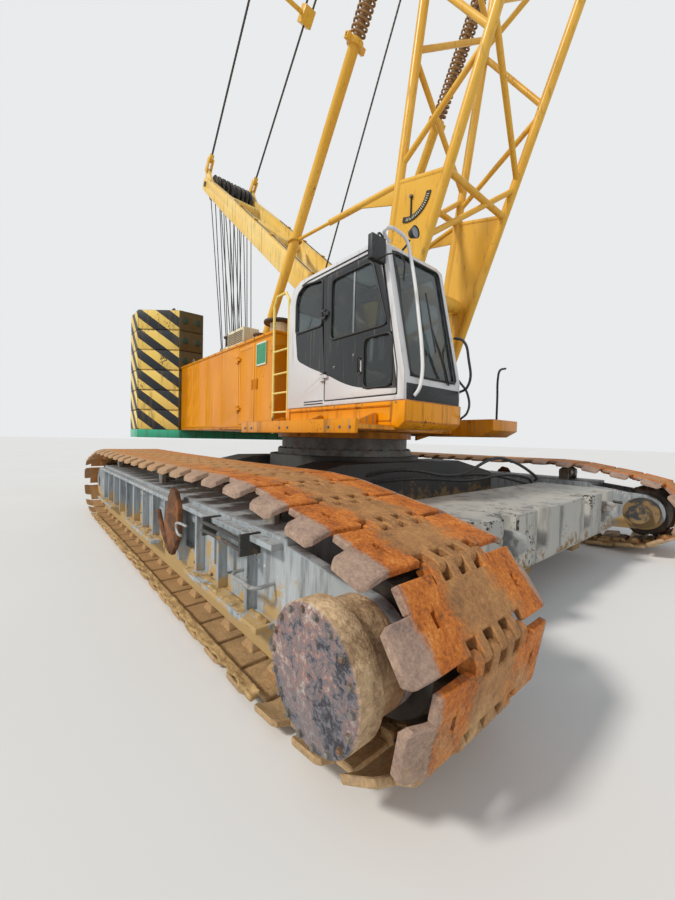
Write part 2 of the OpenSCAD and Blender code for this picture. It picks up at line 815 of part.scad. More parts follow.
glass_t = 8;
module cab_glass() {
    color("#202428", 0.5) {
        side_plate(quarter_window, cab_y0 + 18, glass_t);
        side_plate(left_rear_window, cab_y1 - 26, glass_t);
        side_plate(left_front_window, cab_y1 - 26, glass_t);
        // windscreen, in the plane of the leaning front
        side_plate([[cab_x1 - 26 + 4.6, cab_z0 + 220], [cab_x1 - 18 + 4.6, cab_z0 + 220],
                    [cab_x1 - 24, cab_z0 + 260],
                    [screen_x + 2 + 6.8, cab_z1 - 110], [screen_x - 6 + 6.8, cab_z1 - 110], [cab_x1 - 32,
                        cab_z0 + 260]],
                   cab_y0 + 80, cab_y1 - cab_y0 - 160);
        box([cab_x0 + 18, cab_y0 + 130, 2700], [cab_x0 + 18 + glass_t, cab_y1 - 130, 3200]);
        box([1500, cab_y0 + 160, cab_z1 - 26], [2150, cab_y1 - 160, cab_z1 - 26 + glass_t]);
    }
}

module cab_door() {
    color(cab_white)
        difference() {
            union() {
                side_plate(door_outline(0), cab_y0, cab_wall - 5);
                hinge_moving(door_x0 - hinge_side_gap, cab_y0, 1, cab_hinge_zs);
            }
            side_plate(door_window, cab_y0 - 1, cab_wall + 2);
            side_plate(low_window, cab_y0 - 1, cab_wall + 2);
            // recess of the door handle
            box([2095, cab_y0 - 1, 2210], [2165, cab_y0 + 22, 2390]);
        }
}

module door_glass() {
    color("#202428", 0.5) {
        side_plate(door_window, cab_y0 + 14, glass_t);
        side_plate(low_window, cab_y0 + 14, glass_t);
    }
}

module cab_base() {
    color(orange)
        difference() {
            side_plate([[cab_x0 - 30, deck_z + 1 + seat_gap], [cab_x1 - 60, deck_z + 1 + seat_gap],
                        [cab_x1 + 20, deck_z + 60],
                        [cab_x1 + 20, cab_z0 - seat_gap], [cab_x0 - 30, cab_z0 - seat_gap]],
                       cab_y0, cab_y1 - cab_y0);
            // pressed panel on the outer side
            box([cab_x0 + 60, cab_y0 - 1, deck_z + 70], [cab_x1 - 160, cab_y0 + 8, cab_z0 - 50]);
        }
}

module operator_seat() {
    floor_z = cab_z0 + cab_wall + seat_gap;
    mid = (cab_y0 + cab_y1) / 2;
    color("#D9CF9A") {
        union() {
            box([1480, mid - 180, floor_z], [1800, mid + 180, floor_z + 260]);
            side_plate([[1380, floor_z + 255], [1900, floor_z + 255], [1930, floor_z + 340],
                        [1880, floor_z + 390],
                        [1450, floor_z + 370], [1330, floor_z + 940], [1250, floor_z + 980], [1230,
                            floor_z + 900]],
                       mid - 240, 480);
        }
    }
}

module cab_console() {
    floor_z = cab_z0 + cab_wall + seat_gap;
    color(dark) {
        box([1450, cab_y0 + 70, floor_z], [2050, cab_y0 + 180, floor_z + 560]);
        box([1450, cab_y1 - 180, floor_z], [2050, cab_y1 - 70, floor_z + 560]);
        side_plate([[2330, floor_z], [2560, floor_z], [2540, floor_z + 420], [2380, floor_z + 640],
                    [2330, floor_z + 560]], cab_y1 - 420, 200);
    }
}

// Walkways: deck plates on brackets, beside the cab and the left house, and the platform by the boom foot
walk_t = 45;
platform_x0 = 860;
platform_x1 = 2300;
platform_z0 = 1630;
platform_z1 = 1880;
module walkways() {
    color(orange) {
        union() {
            box([house_x1 + 230, cab_y0 - 500, deck_z - 20],
                [cab_x1 - 100, cab_y0 - seat_gap, deck_z - 20 + walk_t]);
            box([house_x1 + 230, cab_y0 - 500, deck_z - 60], [cab_x1 - 100, cab_y0 - 470, deck_z + 70]);
            for (x = [700, 1500, 2350])
                side_plate_x([[cab_y0 - 480, deck_z - 15], [cab_y0 - seat_gap, deck_z - 15],
                              [cab_y0 - seat_gap, deck_z + 150],
                              [cab_y0 - 30, deck_z + 150]], x, 40);
        }
        union() {
            box([-2900, house_y1 + seat_gap, deck_z - 20],
                [house_x1 + 400, house_y1 + 450, deck_z - 20 + walk_t]);
            for (x = [-2800, -1300, 300])
                side_plate_x([[house_y1 + seat_gap, deck_z - 15], [house_y1 + 430, deck_z - 15],
                              [house_y1 + seat_gap, deck_z - 110]], x, 40);
        }
        // platform ahead of the left house, boxed, with a cut-back lower corner
        difference() {
            side_plate([[platform_x0, platform_z1], [platform_x0, platform_z0],
                        [platform_x1 - 160, platform_z0], [platform_x1, platform_z0 + 90],
                        [platform_x1, platform_z1]],
                       girder_y1 + seat_gap, house_y1 - 50 - girder_y1);
            for (x = [platform_x0 + 80, platform_x0 + 700])
                box([x, girder_y1 + 80, platform_z0 - 1], [x + 520, house_y1 - 110, platform_z1 - 12]);
        }
    }
}

// A plate in the YZ plane, from x0 to x0 + t
module side_plate_x(points, x0, t) {
    translate([x0, 0, 0])
        rotate([90, 0, 90])
            linear_extrude(height = t)
                polygon(points);
}

ladder_x0 = 360;
ladder_x1 = 730;
ladder_y = -1660;
rung_d = 28;
rung_zs = [1890, 2150, 2410, 2720];
ladder_top = 3460;
ladder_turn = 110;
module ladder() {
    rail = 36;
    bend = [[ladder_x0, deck_z - 60], [ladder_x0, ladder_top - ladder_turn],
            [ladder_x0 + ladder_turn * 0.7, ladder_top],
            [ladder_x1 - ladder_turn * 0.7, ladder_top], [ladder_x1, ladder_top - ladder_turn], [ladder_x1,
                deck_z - 60]];
    color("#E8D8A0")
        union() {
            // both rails and the bend that joins them
            for (i = [0:4])
                rod([bend[i][0], ladder_y, bend[i][1]], [bend[i + 1][0], ladder_y, bend[i + 1][1]], rail);
            for (i = [1:4])
                translate([bend[i][0], ladder_y, bend[i][1]])
                    sphere(d = rail, $fn = 32);
            // stand-offs to the deck's edge and to the cab's rear wall
            for (x = [ladder_x0, ladder_x1])
                rod([x, ladder_y, deck_z + 20], [x, -house_y1 - seat_gap, deck_z + 20], rail);
            for (z = [cab_z0 + 400, cab_z0 + 1150])
                rod([ladder_x1, ladder_y, z], [cab_x0 - seat_gap, ladder_y, z], rung_d);
            for (z = rung_zs)
                rod([ladder_x0, ladder_y, z], [ladder_x1, ladder_y, z], rung_d);
        }
}

// Winch drums: barrel and flanges on a shaft
module drum(x, barrel_r, flange_r) {
    turned(x, drum_z,
        [[-drum_y - 44, 90], [-drum_y, 90], [-drum_y + 6, 110], [-drum_y + 6, flange_r],
         [-drum_y + 46, flange_r],
         [-drum_y + 60, barrel_r], [drum_y - 60, barrel_r], [drum_y - 46, flange_r], [drum_y - 6, flange_r],
         [drum_y - 6, 110], [drum_y, 90], [drum_y + 44, 90]]);
}

module main_drum() {
    color(dark)
        drum(drums[0][1], 330, 500);
}

module auxiliary_drum() {
    color(dark)
        drum(drums[1][1], 330, 500);
}

module boom_hoist_drum() {
    color(dark)
        drum(drums[2][1], 280, 430);
}

// Fixed lower block of the boom hoist: two side plates, a shaft and its sheaves
bridle_x = -4250;
bridle_z = 2480;
sheave_r = 280;
module sheave_row(x, z, ys, r, w) {
    for (y = ys)
        translate([0, y, 0])
            turned(x, z, [[-w / 2, 60], [-w / 2, r], [-w * 0.12, r - groove_depth],
                          [w * 0.12, r - groove_depth], [w / 2, r], [w / 2, 60]]);
}

module bridle_block() {
    color(yellow)
        union() {
            for (y = [-330, 285])
                side_plate([[bridle_x - 420, deck_z + 40 + seat_gap],
                            [bridle_x + 420, deck_z + 40 + seat_gap],
                            [bridle_x + 150, bridle_z + 160], [bridle_x - 150, bridle_z + 160]], y, 45);
            cross_bar(bridle_x, bridle_z, -350, 350, 130);
            sheave_row(bridle_x, bridle_z, [-220, -110, 0, 110, 220], sheave_r, 70);
            cross_bar(bridle_x, bridle_z - 480, -300, 300, 100);
        }
}

// Counterweight

// Plan outline of a tower, drawn in by e
function tower_plan(e) = [
    [tower_x0 - e, tower_y0 + e], [tower_x0 - e, 1640 - e * 0.4], [-4360 - e * 0.4, tower_y1 - e],
    [-5030, tower_y1 - e], [tower_x1 + e, tower_y1 - 450 - e * 0.4], [tower_x1 + e, tower_y0 + e]
];
boss_d = 130;
module tower() {
    slab = slab_h - slab_gap;
    total = slab_count * slab_h - slab_gap;
    translate([0, 0, deck_z + seat_gap]) {
        linear_extrude(height = total)
            polygon(tower_plan(14));
        for (i = [0:slab_count - 1])
            translate([0, 0, i * slab_h]) {
                linear_extrude(height = slab)
                    polygon(tower_plan(0));
                // stub bars on the front face for lifting
                for (y = [tower_y0 + 130, 1640 - 110])
                    translate([tower_x0 - 2, y, slab / 2])
                        rotate([0, 90, 0])
                            cylinder(h = 22, d = boss_d, $fn = 32);
            }
        // lifting lugs on top
        for (x = [-4100, -5000])
            side_plate([[x - 130, total - 20], [x + 130, total - 20], [x + 60, total + 110],
                        [x - 60, total + 110]], 1650, 50);
    }
}

module counterweight_left() {
    color("#E8C766")
        tower();
}

module counterweight_right() {
    color("#E8C766")
        mirror([0, 1, 0])
            tower();
}

module counterweight_tray() {
    color(green)
        difference() {
            translate([0, 0, deck_z - tray_t])
                linear_extrude(height = tray_t - seat_gap)
                    polygon(concat([for (p = tower_plan(0)) p],
                                   [for (i = [5:-1:0]) [tower_plan(0)[i][0], -tower_plan(0)[i][1]]]));
            for (y = [-1700, 1700])
                box([tower_x1 - 1, y - 200, deck_z - tray_t + 50], [tower_x1 + 40, y + 200, deck_z - 60]);
        }
}

// Mast: drawn upright from its foot pin and then leaned back

module mast_frame() {
    translate([mast_foot_x, 0, mast_foot_z])
        rotate([0, -mast_lean, 0])
            children();
}

mast_shaft_back = 420;
mast_lug_in = 330;
module mast() {
    h = mast_leg_h / 2;
    color(yellow)
        mast_frame()
            difference() {
                union() {
                    for (y = [-mast_y, mast_y]) {
                        // tapered box leg
                        side_plate([[-110, 60], [110, 60], [h, 1100], [h, mast_len - 1900],
                                    [150, mast_len - 120],
                                    [90, mast_len], [-90, mast_len], [-150, mast_len - 120], [-h,
                                        mast_len - 1900], [-h, 1100]],
                                   y - mast_leg_w / 2, mast_leg_w);
                        cross_bar(0, 0, y - mast_leg_w / 2, y + mast_leg_w / 2, 300);
                        // tip plate with the pendant pin
                        side_plate([[-130, mast_len - 500], [130, mast_len - 500], [300, mast_len - 40],
                                    [330, mast_len + 110],
                                    [210, mast_len + 190], [60, mast_len + 60], [-90, mast_len]], y - 30, 60);
                    }
                    // cross members
                    for (z = [1500, 4300, mast_len - 900])
                        cross_bar(0, z, -mast_y, mast_y, 170);
                    rod([0, -mast_y, 1650], [0, mast_y, 4150], 90);
                    rod([0, mast_y, 4450], [0, -mast_y, mast_len - 1050], 90);
                }
                for (y = [-mast_y, mast_y])
                    cross_bar(0, 0, y - 200, y + 200, 110.1);
                cross_bar(0, mast_len - 180, -mast_y - 200, mast_y + 200, 120.6);
            }
}

module mast_sheaves() {
    ys = [-450, -330, -210, -90, 90, 210, 330, 450];
    color(dark)
        mast_frame()
            union() {
                sheave_row(0, mast_len - 180, ys, 300, 80);
                cross_bar(0, mast_len - 180, -mast_y - mast_leg_w / 2 - 20, mast_y + mast_leg_w / 2 + 20,
                          120);
            }
}

// Boom: drawn upright from its foot pin and then leaned forward

module boom_frame() {
    translate([boom_foot_x, 0, boom_foot_z])
        rotate([0, boom_lean, 0])
            children();
}

butt_z0 = 420;
butt_x0 = 120;
top_end_x = 330;
top_taper_z = butt_len + insert_len + 2600;
half_depth = boom_depth / 2;
join_gap = 1;

// Half the boom's depth at height z
function chord_x(z) =
    z < butt_len ? butt_x0 + (half_depth - butt_x0) * (z - butt_z0) / (butt_len - butt_z0)
    : z < top_taper_z ? half_depth
    : half_depth - (half_depth - top_end_x) * (z - top_taper_z) / (boom_len - 300 - top_taper_z);

// A chord point: side is -1 for the rear chord and 1 for the front one
function chord_point(side, y, z) = [side * chord_x(z), y, z];

// Zigzag of lacing on the two sides, between the stations zs; two rods meet at a station with room for their welds
weld_half = 50;
module side_lacing(zs) {
    for (y = [-foot_y, foot_y], i = [0:len(zs) - 2])
        rod(chord_point(i % 2 == 0 ? -1 : 1, y, zs[i] + weld_half),
            chord_point(i % 2 == 0 ? 1 : -1, y, zs[i + 1] - weld_half), lacing_d);
}

// Lacing of the rear and front faces, set above the side lacing
face_rise = 220;
module face_lacing(zs) {
    for (s = [-1, 1], i = [0:len(zs) - 2])
        rod(chord_point(s, i % 2 == 0 ? -foot_y : foot_y, zs[i] + face_rise + weld_half),
            chord_point(s, i % 2 == 0 ? foot_y : -foot_y, zs[i + 1] + face_rise - weld_half), lacing_d);
}

// Four bars round the section at height z
module end_ring(z) {
    for (s = [-1, 1])
        rod(chord_point(s, -foot_y, z), chord_point(s, foot_y, z), lacing_d + 10);
    for (y = [-foot_y, foot_y])
        rod(chord_point(-1, y, z), chord_point(1, y, z), lacing_d + 10);
}

// Pinned joint between sections, at each chord: a fork below and an eye above
fork_len = 150;
module joint_forks(z) {
    for (s = [-1, 1], y = [-foot_y, foot_y])
        translate([s * chord_x(z), y, z - fork_len])
            box([-85, -75, 0], [85, 75, fork_len - join_gap]);
}

module joint_eyes(z) {
    for (s = [-1, 1], y = [-foot_y, foot_y])
        translate([s * chord_x(z), y, z])
            box([-85, -75, 0], [85, 75, fork_len]);
}

// Lacing stations: clear of the end rings, of the sleeve at the bend and of the head plates
ring_in = 250;
ring_room = 130;
mid_ring_z = 2690;
head_z = boom_len - 760;
function spread(a, b, n) = [for (i = [0:n]) a + (b - a) * i / n];
butt_side_stations = spread(mid_ring_z + 160, butt_len - ring_in - ring_room - face_rise + 30, 4);
butt_stations = concat([1750], butt_side_stations);
insert_stations = spread(butt_len + ring_in + ring_room,
                         butt_len + insert_len - ring_in - ring_room - face_rise, 2);
bend_station = top_taper_z - 420;
top_stations = concat(spread(butt_len + insert_len + ring_in + ring_room, bend_station, 2),
                      [for (i = [1:5]) bend_station + (head_z - 60 - face_rise - bend_station) * i / 5]);

module boom_butt() {
    color(yellow)
        boom_frame()
            difference() {
                union() {
                    for (s = [-1, 1], y = [-foot_y, foot_y])
                        rod(chord_point(s, y, butt_z0 + 250), chord_point(s, y, butt_len - 60), chord_d);
                    for (y = [-foot_y, foot_y]) {
                        // large foot plate, up to the first ring
                        side_plate([[-110, 60], [110, 60], [chord_x(900) + 40, 900],
                                    [chord_x(mid_ring_z) + 20, mid_ring_z], [-chord_x(mid_ring_z) - 20, mid_ring_z],
                                    [-chord_x(900) - 40, 900]],
                                   y - boom_plate_t / 2, boom_plate_t);
                        cross_bar(0, 0, y - boom_plate_t / 2, y + boom_plate_t / 2, 300);
                    }
                    cross_bar(0, 620, -foot_y, foot_y, 200);
                    cross_bar(0, 1500, -foot_y, foot_y, 200);
                    rod([0, -foot_y + 20, 640], [0, foot_y - 20, 1480], lacing_d);
                    side_lacing(butt_side_stations);
                    face_lacing(butt_stations);
                    end_ring(butt_len - ring_in);
                    end_ring(mid_ring_z);
                    joint_forks(butt_len);
                }
                for (y = [-foot_y, foot_y])
                    cross_bar(0, 0, y - 100, y + 100, 110.1);
            }
}

module boom_insert() {
    z0 = butt_len;
    z1 = butt_len + insert_len;
    color(yellow)
        boom_frame()
            union() {
                for (s = [-1, 1], y = [-foot_y, foot_y])
                    rod(chord_point(s, y, z0 + 60), chord_point(s, y, z1 - 60), chord_d);
                side_lacing(insert_stations);
                face_lacing(insert_stations);
                end_ring(z0 + ring_in);
                end_ring(z1 - ring_in);
                joint_eyes(z0);
                joint_forks(z1);
            }
}

tip_z = boom_len;
tip_x = 700;
head_shaft_d = 140;
stay_pin_d = 80;
stay_pin_x = -top_end_x - 90;
stay_pin_z = tip_z - 40;
// Outline of a head plate; its front edge is set forward by e
function head_outline(e) = [
    [-chord_x(boom_len - 700) - 70, head_z], [chord_x(boom_len - 700) + 70 + e, head_z],
    [tip_x + 130 + e, tip_z - 170], [tip_x + 150 + e, tip_z + 40], [tip_x + 40, tip_z + 150],
    [-top_end_x - 190, tip_z + 80], [-top_end_x - 240, tip_z - 120]
];

module boom_top() {
    z0 = butt_len + insert_len;
    color(yellow)
        boom_frame()
            difference() {
                union() {
                    for (s = [-1, 1], y = [-foot_y, foot_y]) {
                        rod(chord_point(s, y, z0 + 60), chord_point(s, y, top_taper_z - 25), chord_d);
                        rod(chord_point(s, y, top_taper_z + 25), chord_point(s, y, boom_len - 300), chord_d);
                        // welded sleeve where the chord bends
                        rod(chord_point(s, y, top_taper_z) - [0, 0, 70],
                            chord_point(s, y, top_taper_z) + [0, 0, 70],
                            chord_d + 24);
                    }
                    side_lacing(top_stations);
                    face_lacing(top_stations);
                    end_ring(z0 + ring_in);
                    joint_eyes(z0);
                    // head: two side plates with the sheave shaft and the pendant pins
                    for (y = [-foot_y, foot_y])
                        side_plate(head_outline(0), y - 30, 60);
                    cross_bar(0, boom_len - 620, -foot_y, foot_y, 160);
                }
                cross_bar(tip_x, tip_z, -foot_y - 100, foot_y + 100, head_shaft_d + 0.6);
                cross_bar(stay_pin_x, stay_pin_z, -foot_y - 100, foot_y + 100, stay_pin_d + 0.2);
            }
}

module boom_sheaves() {
    ys = [-480, -360, -240, -fall_y, fall_y, 240, 360, 480];
    color(dark)
        boom_frame()
            union() {
                sheave_row(tip_x, tip_z, ys, hoist_sheave_r, 80);
                cross_bar(tip_x, tip_z, -foot_y - 60, foot_y + 60, head_shaft_d);
            }
}

// Lugs that a jib or an auxiliary head is pinned to, on the front of the boom head
jib_lug_bore = 80;
jib_lug_x = 860;
jib_lug_z = boom_len - 620;
module jib_lugs() {
    color(yellow)
        boom_frame()
            for (y = [-foot_y, foot_y])
                difference() {
                    union() {
                        side_plate([[jib_lug_x - 360, jib_lug_z - 90], [jib_lug_x, jib_lug_z - 90],
                                    [jib_lug_x, jib_lug_z + 90], [jib_lug_x - 200, jib_lug_z + 200]],
                                   y - 30, 60);
                        cross_bar(jib_lug_x, jib_lug_z, y - 30, y + 30, 180);
                    }
                    // seated on the front edge of the head plate
                    side_plate(head_outline(seat_gap), y - 40, 80);
                    cross_bar(jib_lug_x, jib_lug_z, y - 60, y + 60, jib_lug_bore);
                }
}

// Backstops: a tube with a spring sleeve, held by the boom and resting on the house roof
backstop_seat = [-900, 1090, house_top + 200];
backstop_z = 7050;
backstop_y_top = foot_y + 160;
backstop_d = 150;
spring_d = 220;
spring_turns = 14;
// outline of one coil: [radius, height]
coil = [[86, -30], [spring_d / 2 - 8, -20], [spring_d / 2 + 4, 0], [spring_d / 2 - 8, 20], [86, 30]];
function coil_at(i, l) = l * 0.6 + 120 + (l * 0.32 - 120) * i / (spring_turns - 1);
boom_u = [cos(boom_angle), 0, sin(boom_angle)];
boom_n = [sin(boom_angle), 0, -cos(boom_angle)];
boom_foot = [boom_foot_x, 0, boom_foot_z];
backstop_top = boom_foot + boom_u * backstop_z - boom_n * chord_x(backstop_z) + [0, backstop_y_top, 0];

pad_d = 210;
backstop_run = backstop_top - backstop_seat;

// Places its children at the backstop's foot, with Z along the tube
module backstop_frame() {
    translate(backstop_seat)
        rotate([0, acos(backstop_run[2] / norm(backstop_run)), atan2(backstop_run[1], backstop_run[0])])
            children();
}

module backstop() {
    l = norm(backstop_run);
    backstop_frame() {
        cylinder(h = l * 0.62, d = backstop_d, $fn = 48);
        cylinder(h = 60, d = pad_d, $fn = 48);
        translate([0, 0, l * 0.6])
            cylinder(h = 70, d = 250, $fn = 48);
        translate([0, 0, l * 0.6])
            cylinder(h = l * 0.4, d = 170, $fn = 48);
        // coils in one turned outline
        rotate_extrude($fn = 48)
            polygon(concat([[70, l * 0.6 + 80]],
                           [for (i = [0:spring_turns - 1], p = coil) [p[0], coil_at(i, l) + p[1]]],
                           [[70, l * 0.92 + 30]]));
    }
    // pivot on the boom's rear chord
    rod([backstop_top[0], foot_y + chord_d / 2 + seat_gap, backstop_top[2]], backstop_top + [0, 90, 0], 130);
}

module backstops() {
    color(yellow)
        both_sides()
            backstop();
}

// Seats on the house roofs: a boxed bracket whose top lies square to the backstop's tube, on a base plate
seat_half_l = 125;
seat_half_w = 120;
seat_plate_t = 25;
module backstop_seats() {
    tube = [backstop_run[0], backstop_run[2]] / norm([backstop_run[0], backstop_run[2]]);
    across = [tube[1], -tube[0]];
    // lowered by what the tube's sideways lean takes off at the pad's edge
    drop = seat_gap + pad_d / 2 * abs(backstop_run[1]) / norm(backstop_run);
    middle = [backstop_seat[0], backstop_seat[2]] - tube * drop;
    roof = house_top + seat_gap;
    front = middle + across * seat_half_l;
    rear = middle - across * seat_half_l;
    color(orange)
        both_sides()
            union() {
                side_plate([rear, front, [front[0] + 30, roof], [rear[0] - 60, roof]],
                           backstop_seat[1] - seat_half_w, 2 * seat_half_w);
                box([rear[0] - 120, backstop_seat[1] - seat_half_w - 50, roof],
                    [front[0] + 90, backstop_seat[1] + seat_half_w + 50, roof + seat_plate_t]);
            }
}

// Pendants: main stays between the mast tip and the boom head
mast_u = [-cos(mast_angle), 0, sin(mast_angle)];
mast_n = [sin(mast_angle), 0, cos(mast_angle)];
mast_tip = [mast_foot_x, mast_y, mast_foot_z] + mast_u * (mast_len + 80) + mast_n * 235;
boom_pin = boom_foot + boom_u * stay_pin_z + boom_n * stay_pin_x + [0, foot_y, 0];
stay = boom_pin - mast_tip;
stay_len = norm(stay);
stay_dir = stay / stay_len;
link_at = 3600;
link_half = 130;
stay_d = 44;

module pendants() {
    color(dark)
        both_sides() {
            // lower rope
            rod(mast_tip + stay_dir * (420 + seat_gap), mast_tip + stay_dir * (link_at - 10 - seat_gap), stay_d);
            // upper ropes, two on each side
            for (y = [-90, 90])
                rod(mast_tip + stay_dir * (link_at + 300 + seat_gap) + [0, y, 0],
                    boom_pin - stay_dir * (430 + seat_gap) + [0, y, 0], stay_d);
        }
}

module pendant_links() {
    color(yellow) {
        both_sides() {
            // fork round the mast tip plate
            for (y = [-30 - pin_gap - 30, 30 + pin_gap])
                translate([0, y, 0])
                    link_plate(mast_tip + stay_dir * 0, mast_tip + stay_dir * 330, 150, 30);
            rod(mast_tip + stay_dir * 270 + [0, -66, 0], mast_tip + stay_dir * 270 + [0, 66, 0], 90);
            rod(mast_tip + stay_dir * 270, mast_tip + stay_dir * 420, 110);
            // fork round the boom head plate
            for (y = [-30 - pin_gap - 110, 30 + pin_gap])
                translate([0, y, 0])
                    link_plate(boom_pin, boom_pin - stay_dir * 430, 130, 110);
            rod(boom_pin + [0, -150, 0], boom_pin + [0, 150, 0], stay_pin_d);
        }
        // link blocks and the bar between them
        both_sides()
            translate([0, -link_half, 0])
                link_plate(mast_tip + stay_dir * (link_at - 10), mast_tip + stay_dir * (link_at + 300), 240,
                           2 * link_half);
        rod(mast_tip + stay_dir * (link_at + 150) - [0, link_half - 5, 0],
            mast_tip + stay_dir * (link_at + 150) - [0, 2 * mast_tip[1] - link_half + 5, 0], 90);
    }
}

// A flat bar of width w and thickness t (along Y) between two points in the XZ plane
module link_plate(a, b, w, t) {
    v = b - a;
    l = norm([v[0], v[2]]);
    translate(a)
        rotate([0, -atan2(v[2], v[0]), 0])
            translate([0, 0, -w / 2])
                cube([l, t, w]);
}

// Boom angle indicator on the right foot plate: a scale in a quarter ring, with a pointer hung from its pivot
scale_x = -70;
scale_z = 2480;
scale_r = 290;
scale_w = 62;
scale_t = 14;
module angle_plate() {
    color("#E8E4D0")
        boom_frame()
            translate([scale_x, -foot_y - boom_plate_t / 2 - seat_gap, scale_z])
                rotate([90, 0, 0])
                    union() {
                        difference() {
                            cylinder(h = scale_t, r = scale_r, $fn = 96);
                            translate([0, 0, -1])
                                cylinder(h = scale_t + 2, r = scale_r - scale_w, $fn = 96);
                            box([-scale_r - 1, 20, -1], [scale_r + 1, scale_r + 1, scale_t + 1]);
                            box([-scale_r - 1, -scale_r - 1, -1], [-60, 21, scale_t + 1]);
                        }
                        cylinder(h = scale_t + 12, r = 22, $fn = 32);
                        rotate([0, 0, boom_lean])
                            box([-6, -scale_r + scale_w / 2, 0], [6, 0, scale_t + 6]);
                    }
}

// Hook block on its rope falls, under the boom head
tip = boom_foot + boom_u * tip_z + boom_n * tip_x;
fall = 2300;
rope_d = 26;
block_z = tip[2] - fall;
hoist_sheave_r = 340;
groove_depth = 34;
fall_y = 110;
fall_x = hoist_sheave_r - groove_depth + rope_d / 2 + seat_gap;
module hook_block() {
    color(yellow)
        translate([tip[0], 0, 0])
            union() {
                sheave_row(0, block_z, [-fall_y, fall_y], hoist_sheave_r, 70);
                cross_bar(0, block_z, -230, 230, 110);
                for (y = [-200, 165])
                    side_plate([[-170, block_z + 330], [170, block_z + 330], [330, block_z],
                                [200, block_z - 420],
                                [-200, block_z - 420], [-330, block_z]], y, 35);
                box([-160, -200, block_z - 480], [160, 200, block_z - 360]);
                // hook shank and hook
                translate([0, 0, block_z - 700])
                    cylinder(h = 300, d = 110, $fn = 48);
                hook_shape();
            }
    color(dark)
        translate([tip[0], 0, 0])
            for (y = [-fall_y, fall_y], x = [-fall_x, fall_x])
                rod([x, y, block_z], [x, y, tip[2]], rope_d);
}

// The hook: a round bar bent three quarters of a turn, with a straight tip
hook_r = 190;
hook_d = 100;
module hook_shape() {
    translate([0, 0, block_z - 700 - hook_r])
        rotate([90, 0, 0])
            rotate_extrude(angle = 250, start = -160, $fn = 64)
                translate([hook_r, 0])
                    circle(d = hook_d, $fn = 32);
}

carbody();
carbody_weights();
weight_lugs();
slew_ring();
side_frame_right();
side_frame_left();
track_right();
track_left();
drive_tumblers();
idlers();
lower_rollers();
upper_rollers();
final_drives();
drive_motors();
turning_frame();
house_right();
house_left();
engine();
roof_fittings();
cab_base();
cab_shell();
cab_glass();
operator_seat();
cab_console();
walkways();
ladder();
backstop_seats();
main_drum();
auxiliary_drum();
boom_hoist_drum();
bridle_block();
counterweight_tray();
counterweight_right();
counterweight_left();
cab_door();
door_glass();
house_door_front();
house_door_rear();
mast();
mast_sheaves();
boom_butt();
boom_insert();
boom_top();
boom_sheaves();
jib_lugs();
backstops();
pendants();
pendant_links();
angle_plate();
hook_block();
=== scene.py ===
import json
import math

import bmesh
import bpy
from mathutils import Matrix, Vector, noise

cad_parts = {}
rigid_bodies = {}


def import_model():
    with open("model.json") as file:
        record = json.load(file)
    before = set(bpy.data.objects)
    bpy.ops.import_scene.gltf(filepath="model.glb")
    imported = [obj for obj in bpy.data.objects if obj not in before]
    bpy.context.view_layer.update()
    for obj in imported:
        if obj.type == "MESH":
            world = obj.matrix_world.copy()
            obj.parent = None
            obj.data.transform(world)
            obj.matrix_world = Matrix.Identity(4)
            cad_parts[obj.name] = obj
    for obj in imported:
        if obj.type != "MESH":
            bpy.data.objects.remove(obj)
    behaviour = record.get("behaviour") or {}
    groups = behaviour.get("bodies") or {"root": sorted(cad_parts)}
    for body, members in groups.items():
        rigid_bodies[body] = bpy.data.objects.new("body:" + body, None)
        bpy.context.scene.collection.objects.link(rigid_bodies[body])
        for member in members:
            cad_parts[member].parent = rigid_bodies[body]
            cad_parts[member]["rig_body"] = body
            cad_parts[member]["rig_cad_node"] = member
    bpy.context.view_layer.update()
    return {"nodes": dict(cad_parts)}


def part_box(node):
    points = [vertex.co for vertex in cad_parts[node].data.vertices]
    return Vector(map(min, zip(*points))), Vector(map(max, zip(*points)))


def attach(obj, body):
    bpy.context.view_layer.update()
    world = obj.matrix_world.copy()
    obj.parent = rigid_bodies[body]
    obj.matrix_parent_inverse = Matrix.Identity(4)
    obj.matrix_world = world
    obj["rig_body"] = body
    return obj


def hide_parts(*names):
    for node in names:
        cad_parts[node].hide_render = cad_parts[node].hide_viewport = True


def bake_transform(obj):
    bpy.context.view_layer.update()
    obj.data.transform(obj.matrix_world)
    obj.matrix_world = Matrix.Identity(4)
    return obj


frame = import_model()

# Camera: a wide lens at a standing person's eye height beside the front of the right track, looking back
# along the machine, a little down and slightly rolled.
lens_place = Vector((4.88, -4.32, 1.55))
heading, dip, roll = math.radians(40.5), math.radians(1.75), math.radians(1.35)
flat_ahead = Vector((-math.cos(heading), math.sin(heading), 0))
flat_right = Vector((math.sin(heading), math.cos(heading), 0))
down = Vector((0, 0, -1))
ahead = flat_ahead * math.cos(dip) + down * math.sin(dip)
under = down * math.cos(dip) - flat_ahead * math.sin(dip)
right = flat_right * math.cos(roll) - under * math.sin(roll)
under = flat_right * math.sin(roll) + under * math.cos(roll)
bpy.ops.object.camera_add()
camera = bpy.context.object
camera.name = "standing_camera"
camera.matrix_world = Matrix.Translation(lens_place) @ Matrix((right, -under, -ahead)).transposed().to_4x4()
camera.data.lens = 14.8
camera.data.clip_start = 0.05
camera.data.clip_end = 400
camera.data.dof.use_dof = False
bpy.context.scene.camera = camera
bpy.context.scene.view_settings.view_transform = "Standard"


